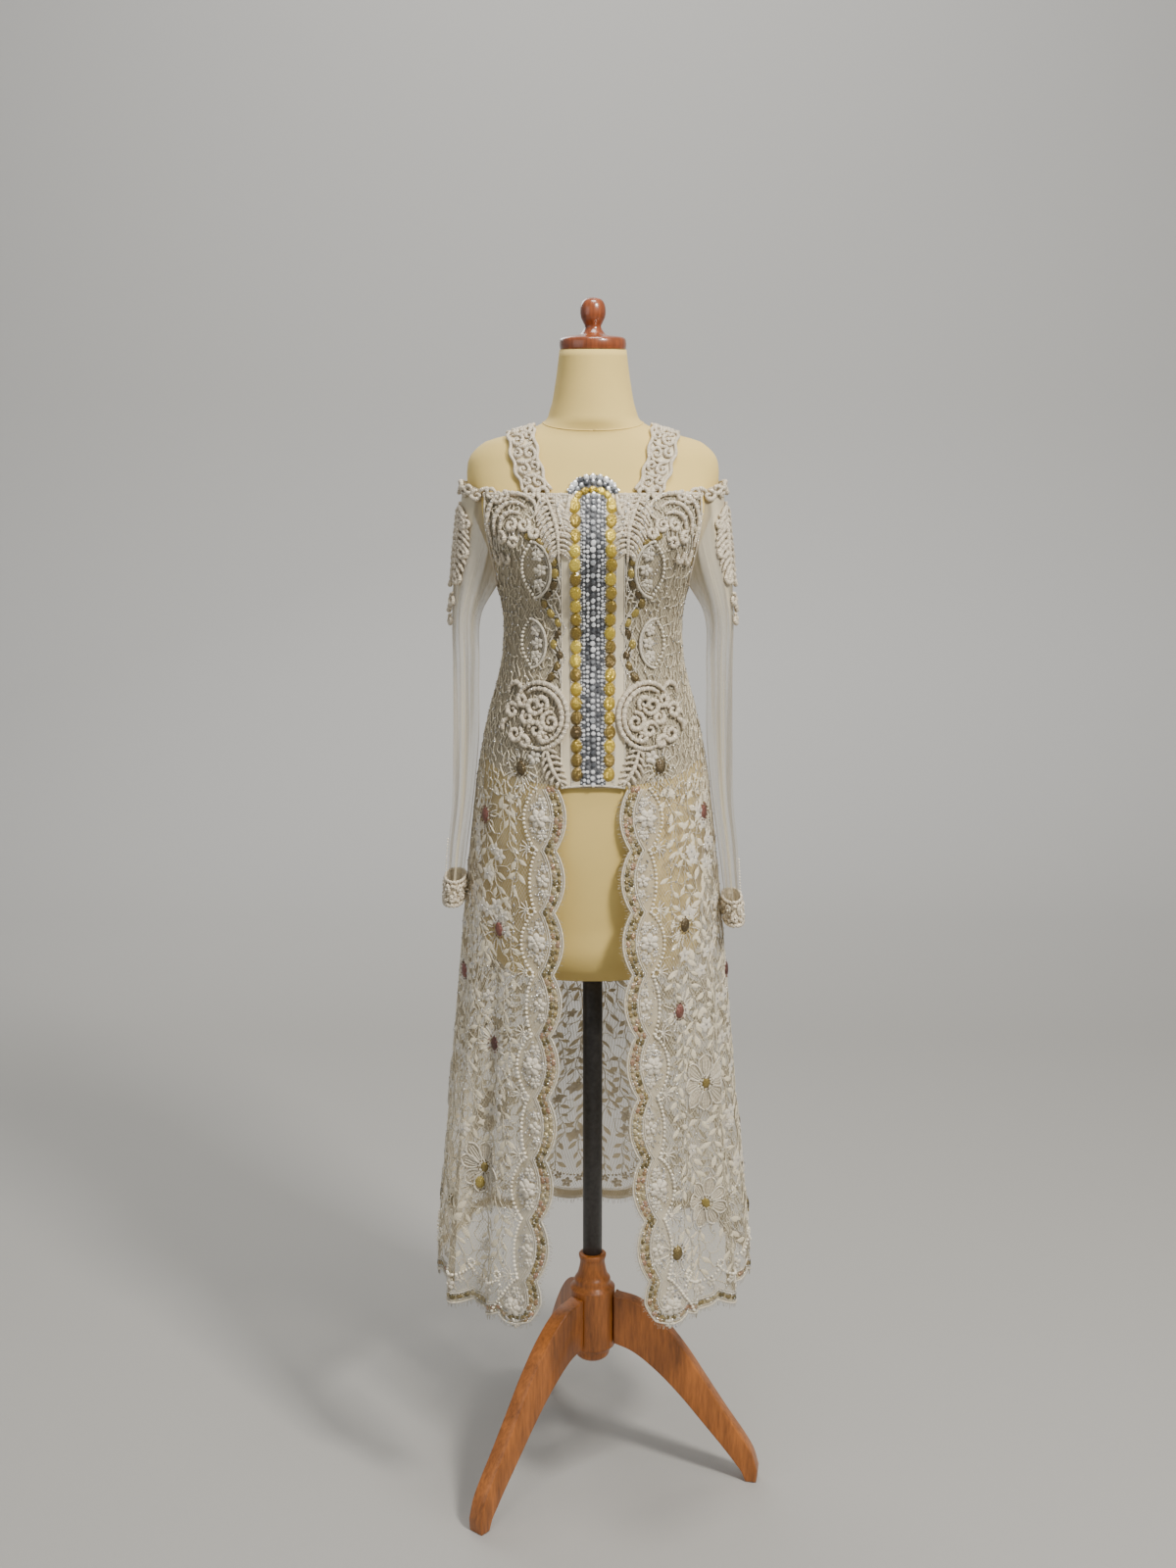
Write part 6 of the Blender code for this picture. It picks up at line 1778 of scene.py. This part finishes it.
def build_front_border(side_name):
    """Scalloped front edge: cords, a band of sequins, half moons of flowers and a wavy line of pearls."""
    body = BODY[side_name]
    white, pearls, sequins, flowers, beads, band = (Batch() for _ in range(6))
    z = np.arange(WAIST_SPLIT_Z - 0.002, HEM_Z, -0.0028)
    edge = edge_a(body, z)
    strand(white, body, np.stack([edge + 0.0010, z], axis=1), 0.0012, 6, 0.0)
    strand(white, body, np.stack([edge + 0.0038, z], axis=1), 0.0007, 5, 0.0)
    strand(white, body, np.stack([edge + BORDER_BAND, z], axis=1), 0.0010, 6, 0.0004)
    strand(white, body, np.stack([edge + BORDER_BAND + 0.0030, z], axis=1), 0.0007, 5, 0.0004)
    across = np.linspace(0.0, 1.0, 9)[None, :]
    band = cloth_patch(body, edge[:, None] + across * BORDER_BAND, z[:, None], 0.0005)
    for inside, step, wide, long in ((0.0078, 0.0098, 0.0062, 0.0088), (0.0140, 0.0108, 0.0066, 0.0094)):
        path = np.stack([edge + inside, z], axis=1)
        spots = along(path, step, wide, long, 0.0016, 0.35)
        stamp(sequins, body, OVAL, spots, 0.0007)
    for inside in (0.0048, 0.0109, 0.0166):
        spots = along(np.stack([edge + inside, z], axis=1), 0.0042, 0.0022, 0.0022, 0.0020, 0.4)
        stamp(beads, body, BEAD, spots[RANDOM.random(len(spots)) < 0.7], 0.0007)
    phase = (WAIST_SPLIT_Z - z) / SCALLOP_Z
    big = (np.floor(phase).astype(int) % 2) == 0
    notch = np.interp(z, FRONT_EDGE[:, 0], FRONT_EDGE[:, 1])
    bulge = np.where(big, 0.0190, 0.0095) * np.sin(math.pi * (phase % 1.0)) ** 0.7
    pearl_a = body.from_x(notch + 0.0245 + bulge, z)
    pearl_path = np.stack([pearl_a, z], axis=1)
    stamp(pearls, body, BALL, along(pearl_path, 0.0057, 0.0043, 0.0043, 0.0040), 0.0004)
    for k in range(NOTCHES + 1):
        middle_z = WAIST_SPLIT_Z - SCALLOP_Z * (k + 0.5)
        notch_z = WAIST_SPLIT_Z - SCALLOP_Z * (k + 1)
        if middle_z < HEM_Z + 0.010:
            break
        heart = float(edge_a(body, middle_z)) + BORDER_BAND + (0.0190 if k % 2 == 0 else 0.0115)
        if k % 2 == 0:
            stamp(flowers, body, DISC, rosette(heart, middle_z, 0.0125, 6, 15 * k), 0.0006)
            stamp(flowers, body, DISC, rosette(heart, middle_z, 0.0070, 5, 40), 0.0030)
            for turn in np.radians((60, 120, 180, 240, 300)):
                spot = (heart + 0.0150 * math.cos(turn), middle_z + 0.0175 * math.sin(turn))
                stamp(flowers, body, DISC, rosette(*spot, 0.0048, 5, 30), 0.0006)
            stamp(pearls, body, BALL, [(heart, middle_z, 0, 0.0036, 0.0036, 0.0036)], 0.0052)
            extra = ((-0.004, 0.0220, 0.0070), (-0.004, -0.0220, 0.0070))
        else:
            stamp(flowers, body, DISC, rosette(heart, middle_z, 0.0085, 5, 20), 0.0006)
            stamp(pearls, body, BALL, [(heart, middle_z, 0, 0.0034, 0.0034, 0.0034)], 0.0024)
            extra = ((-0.002, 0.0165, 0.0060), (-0.002, -0.0165, 0.0060))
        for da, db, radius in extra:
            stamp(flowers, body, DISC, rosette(heart + da, middle_z + db, radius, 5, 50), 0.0006)
            stamp(pearls, body, BEAD, [(heart + da, middle_z + db, 0, 0.0026, 0.0026, 0.0026)], 0.0020)
        turn = RANDOM.uniform(0, 2 * math.pi, 64)
        out = RANDOM.uniform(0.45, 1.0, 64)
        a = heart - 0.002 + 0.0180 * out * np.cos(turn)
        b = middle_z + 0.0330 * out * np.sin(turn)
        limit_low = np.interp(-b, -z, edge) + BORDER_BAND + 0.003
        limit_high = np.interp(-b, -z, pearl_a) - 0.003
        fits = (a > limit_low) & (a < limit_high)
        stamp(beads, body, BEAD, joined(a, b, 0, 0.0024, 0.0024, 0.0022)[fits], 0.0006)
        if notch_z > HEM_Z + 0.015:
            edge_x = np.interp(notch_z, FRONT_EDGE[:, 0], FRONT_EDGE[:, 1])
            ring_a = float(body.from_x(edge_x + 0.0315, notch_z))
            stamp(pearls, body, BALL, ring_spots(ring_a, notch_z, 0.0048, 9, 0.0032), 0.0004)
            fan = np.radians(np.linspace(100, 260, 6))
            starts = np.tile((ring_a + 0.0060, notch_z), (6, 1))
            ends = starts + np.stack([0.012 * np.cos(fan - math.pi), 0.014 * np.sin(fan)], axis=1)
            strands(white, body, bowed(starts, ends, np.full(6, 0.1)), 0.0009, 5, 0.0004)
    spots = along(np.stack([body.from_x(border_line(z), z), z], axis=1), 0.0120, 0.0018, 0.0056, 0.0018, 0.5)
    stamp(beads, body, BEAD, spots, 0.0004)
    piece(f"border_cords_{side_name}", white, LOOKS["white_cord"])
    piece(f"border_pearls_{side_name}", pearls, LOOKS["pearl"])
    piece(f"border_sequins_{side_name}", sequins, LOOKS["sequin"])
    piece(f"border_flowers_{side_name}", flowers, LOOKS["petal"])
    piece(f"border_beads_{side_name}", beads, LOOKS["silver_bead"])
    piece(f"border_band_{side_name}", band, LOOKS["band"])
    reach = np.maximum(pearl_a - edge - BORDER_BAND - 0.001, 0.0005)[:, None]
    moons = cloth_patch(body, edge[:, None] + BORDER_BAND + across * reach, z[:, None], 0.0004)
    piece(f"border_moons_{side_name}", moons, LOOKS["moon"])


def hem_path(body, facing, lift, count=190):
    """Places along the hem of a panel, raised from it: a, z, and the phase within its scallops."""
    u = np.linspace(0, 1, count)
    if facing == "back":
        place, shape = u, hem_low(1 - u)
        start, end = body.side_at(shape), body.end_at(shape)
        a = start + (end - start) * u
        return np.stack([a, shape + lift], axis=1), ((1 - u) * HEM_SCALLOPS) % 1.0
    split = border_share(body)
    place = np.clip((u - split) / (1 - split), 0, 1)
    corner = HEM_Z - HEM_SCALLOP_DEPTH * np.sin(np.clip(u / split, 0, 1) * math.pi) ** SCALLOP_ROUND
    shape = np.where(u < split, corner, hem_low(place))
    start, end = edge_a(body, shape), body.side_at(shape)
    phase = np.where(u < split, u / split, (place * HEM_SCALLOPS) % 1.0)
    return np.stack([start + (end - start) * u, shape + lift], axis=1), phase


def build_hem(side_name):
    """Scalloped hem of the front and back panels, with its sequins, pearls, flowers and eyelash fringe."""
    body = BODY[side_name]
    white, pearls, sequins, flowers, beads, lashes, band = (Batch() for _ in range(7))
    for facing in ("front", "back"):
        path, phase = hem_path(body, facing, 0.0)
        strand(white, body, path + (0, 0.0012), 0.0014, 6)
        strand(white, body, path + (0, 0.0040), 0.0007, 4)
        strand(white, body, path + (0, 0.0150), 0.0010, 5, 0.0003)
        strand(white, body, path + (0, 0.0178), 0.0007, 4, 0.0003)
        rise = np.linspace(0, 0.0150, 7)[:, None]
        band.add(
            body.at(
                path[None, :, 0] + 0 * rise, path[None, :, 1] + rise, 0.0005 + 0 * (path[None, :, 0] + rise),
            ),
            grid_faces(7, len(path)), joined(path[None, :, 0], path[None, :, 1] + rise),
        )
        stamp(sequins, body, OVAL, along(path + (0, 0.0096), 0.0112, 0.0068, 0.0094, 0.0016, 0.35), 0.0007)
        for rise in (0.0060, 0.0132):
            spots = along(path + (0, rise), 0.0037, 0.0020, 0.0020, 0.0020, 0.4)
            stamp(beads, body, BEAD, spots[RANDOM.random(len(spots)) < 0.8], 0.0007)
        wave = 0.0440 - 0.0170 * np.sin(math.pi * phase) ** 0.7
        pearl_path = np.stack([path[:, 0], HEM_Z + wave + 0.004], axis=1)
        keep = np.ones(len(path), bool)
        if facing == "front":
            keep = path[:, 0] > border_a(body, path[:, 1]) - 0.004
        stamp(pearls, body, BALL, along(pearl_path[keep], 0.0057, 0.0043, 0.0043, 0.0040), 0.0004)
        joins = [
            k for k in range(1, len(phase))
            if keep[k] and phase[k] < phase[k - 1] - 0.5 or phase[k] > phase[k - 1] + 0.5
        ]
        for k in joins:
            stamp(pearls, body, BALL, ring_spots(path[k, 0], HEM_Z + 0.0530, 0.0046, 9, 0.0034), 0.0004)
        off_top = [abs(share - 0.5) for share in phase]
        tops = [
            k for k in range(1, len(phase) - 1)
            if off_top[k] <= min(off_top[k - 1], off_top[k + 1]) - 1e-9 or phase[k - 1] < 0.5 <= phase[k]
        ]
        last = -1.0
        for k in tops:
            if path[k, 0] - last < 0.02:
                continue
            last = path[k, 0]
            stamp(flowers, body, DISC, rosette(path[k, 0], HEM_Z + 0.0175, 0.0085, 5, 18), 0.0006)
            stamp(pearls, body, BEAD, [(path[k, 0], HEM_Z + 0.0175, 0, 0.0030, 0.0030, 0.0030)], 0.0024)
            for shift in (-0.0165, 0.0165):
                stamp(flowers, body, DISC, rosette(path[k, 0] + shift, HEM_Z + 0.0270, 0.0062, 5, 40), 0.0006)
        line = resample(path, 0.0030)
        count = len(line)
        ends = line + joined(RANDOM.uniform(-0.0022, 0.0022, count), -RANDOM.uniform(0.0045, 0.0085, count))
        strands(lashes, body, bowed(line, ends, RANDOM.uniform(-0.15, 0.15, count), 4), 0.00032, 3)
    z = np.arange(WAIST_SPLIT_Z - 0.010, HEM_Z, -0.0030)
    starts = joined(edge_a(body, z), z)
    ends = starts + joined(-RANDOM.uniform(0.0025, 0.0055, len(z)), RANDOM.uniform(-0.0030, 0.0010, len(z)))
    strands(lashes, body, bowed(starts, ends, RANDOM.uniform(-0.2, 0.2, len(z)), 4), 0.00030, 3)
    panel_pieces("hem_cords", side_name, white, LOOKS["white_cord"])
    panel_pieces("hem_pearls", side_name, pearls, LOOKS["pearl"])
    panel_pieces("hem_sequins", side_name, sequins, LOOKS["sequin"])
    panel_pieces("hem_flowers", side_name, flowers, LOOKS["petal"])
    panel_pieces("hem_beads", side_name, beads, LOOKS["silver_bead"])
    panel_pieces("hem_fringe", side_name, lashes, LOOKS["fringe"])
    panel_pieces("hem_band", side_name, band, LOOKS["band"])


def build_bodice_lace(side_name):
    """Dense branching cords over the bodice, with scattered beads, and the curled band at the neckline."""
    body = BODY[side_name]
    threads, sparkle, curls, pearls = (Batch() for _ in range(4))
    pairs = honeycomb((0.030, 0.56), (WAIST_SPLIT_Z - 0.016, 1.440), 0.0088, 0.0175, 0.26)
    middle = pairs.mean(axis=1)
    a, b = middle.T
    end = body.end_at(b)
    limit = np.interp(np.clip(b, ARMPIT_Z, None), ARMHOLE[:, 0], ARMHOLE[:, 1])
    front_end = np.where(b > ARMPIT_Z, share_to_a(body, limit, b), 9.0)
    back_start = np.where(b > ARMPIT_Z, share_to_a(body, 2 - limit, b), 0.0)
    inside = (a > 0.047) & (a < end) & ((a < front_end) | (a > back_start)) & (b < NECKLINE_Z - 0.006)
    inside &= (b > 1.090) | (a > 0.075)
    for spot_a, spot_b, wide, tall, hand in MEDALLIONS:
        inside &= ((a - spot_a + 0.006) / wide) ** 2 + ((b - spot_b) / tall) ** 2 > 0.85
    pairs = pairs[inside & (RANDOM.random(len(pairs)) > 0.16)]
    pairs[:, :, 0] = np.minimum(pairs[:, :, 0], body.end_at(pairs[:, :, 1]))
    strands(
        threads, body, bowed(pairs[:, 0], pairs[:, 1], RANDOM.uniform(-0.35, 0.35, len(pairs)), 3),
        RANDOM.uniform(0.0007, 0.0013, len(pairs)), 4,
    )
    ends = pairs.reshape(-1, 2)[RANDOM.random(2 * len(pairs)) < 0.11]
    turns = RANDOM.uniform(0, 180, len(ends))
    stamp(sparkle, body, BEAD, np.stack([
        ends[:, 0], ends[:, 1], turns, np.full(len(ends), 0.0020), RANDOM.uniform(0.002, 0.0048, len(ends)),
        np.full(len(ends), 0.0020),
    ], axis=1), 0.0012)
    edge = share_to_a(body, np.interp([NECKLINE_Z], ARMHOLE[:, 0], ARMHOLE[:, 1]), np.array([NECKLINE_Z]))[0]
    for k, a0 in enumerate(np.arange(0.1180, edge - 0.004, 0.0105)):
        low = 1.4370 - (0.0050 if k % 2 else 0.0)
        curl = spiral((a0, low), 0.0080, 0.0020, 90 * (k % 4), 430 if k % 2 else -430)
        cords(curls, body, [curl], 0.0027, 7, 0.0006)
    back_edge = share_to_a(body, 2 - armhole([NECKLINE_Z]), np.array([NECKLINE_Z]))[0]
    top = float(body.end_at(NECKLINE_Z))
    for k, a0 in enumerate(np.arange(back_edge + 0.006, top - 0.003, 0.0112)):
        curl = spiral((a0, 1.4360), 0.0078, 0.0020, 90 * (k % 4), 430 if k % 2 else -430)
        cords(curls, body, [curl], 0.0026, 7, 0.0006)
    z = np.linspace(NECKLINE_Z - 0.002, ARMPIT_Z + 0.002, 40)
    limit = np.interp(z, ARMHOLE[:, 0], ARMHOLE[:, 1])
    for seam in (share_to_a(body, limit, z) - 0.0015, share_to_a(body, 2 - limit, z) + 0.0015):
        smooth_seam = np.convolve(np.pad(seam, 3, "edge"), np.ones(7) / 7, "valid")
        strand(curls, body, joined(smooth_seam, z), 0.0015, 6, 0.0012)
    for start, stop in ((0.0320, edge - 0.002), (back_edge + 0.002, top)):
        count = 60
        rim = np.stack([np.linspace(start, stop, count), np.full(count, NECKLINE_Z - 0.0025)], axis=1)
        strand(curls, body, rim, 0.0022, 7, 0.0002)
    panel_pieces("bodice_cords", side_name, threads, LOOKS["thin_cord"])
    panel_pieces("bodice_sparkle", side_name, sparkle, LOOKS["silver_bead"])
    panel_pieces("neckline_curls", side_name, curls, LOOKS["cord"])


PANEL_WORK = (
    "bust_cords", "waist_cords", "bodice_lines", "bodice_pearls", "bodice_flowers", "bodice_chain", "bodice_beads",
    "border_cords", "border_pearls", "border_sequins", "border_flowers", "border_beads", "border_band", "border_moons",
)
CUT = {"front": ((0.275, 1.115), 0.259), "back": ((0.300, 1.115), 0.283)}
SLEEVE_CUT = {"left": ((0.235, 0.600), 0.115), "right": ((0.235, 0.630), 0.119)}


def declare_cloth():
    """Gathers the work sewn to each lace panel and reads the cut of every panel and sleeve, but does nothing with
    them.
    """
    made = {o.name: o for o in bpy.data.objects}
    for side_name in SIDES:
        for facing, (flat, area) in CUT.items():
            end = f"_{facing}_{side_name}"
            work = [
                o for name, o in made.items()
                if name.endswith(end) and not name.startswith(("lace", "hem_" + facing))
            ]
            if facing == "front":
                work += [made[f"{name}_{side_name}"] for name in PANEL_WORK]
            work = [o for o in work if o.data.uv_layers.get("flat")]
        flat, area = SLEEVE_CUT[side_name]


build_camera()
build_light()
build_stage()
build_form()
build_stand()
for facing_name in ("front", "back"):
    build_lining(facing_name)
    for name in SIDES:
        build_panel(name, facing_name)
for name in SIDES:
    build_sleeve(name)
    build_sleeve_trim(name)
    build_strap(name)
    build_bodice_lace(name)
    build_bodice_trim(name)
    build_lower_lace(name)
    build_big_flowers(name)
    build_front_border(name)
    build_hem(name)
build_placket()
declare_cloth()
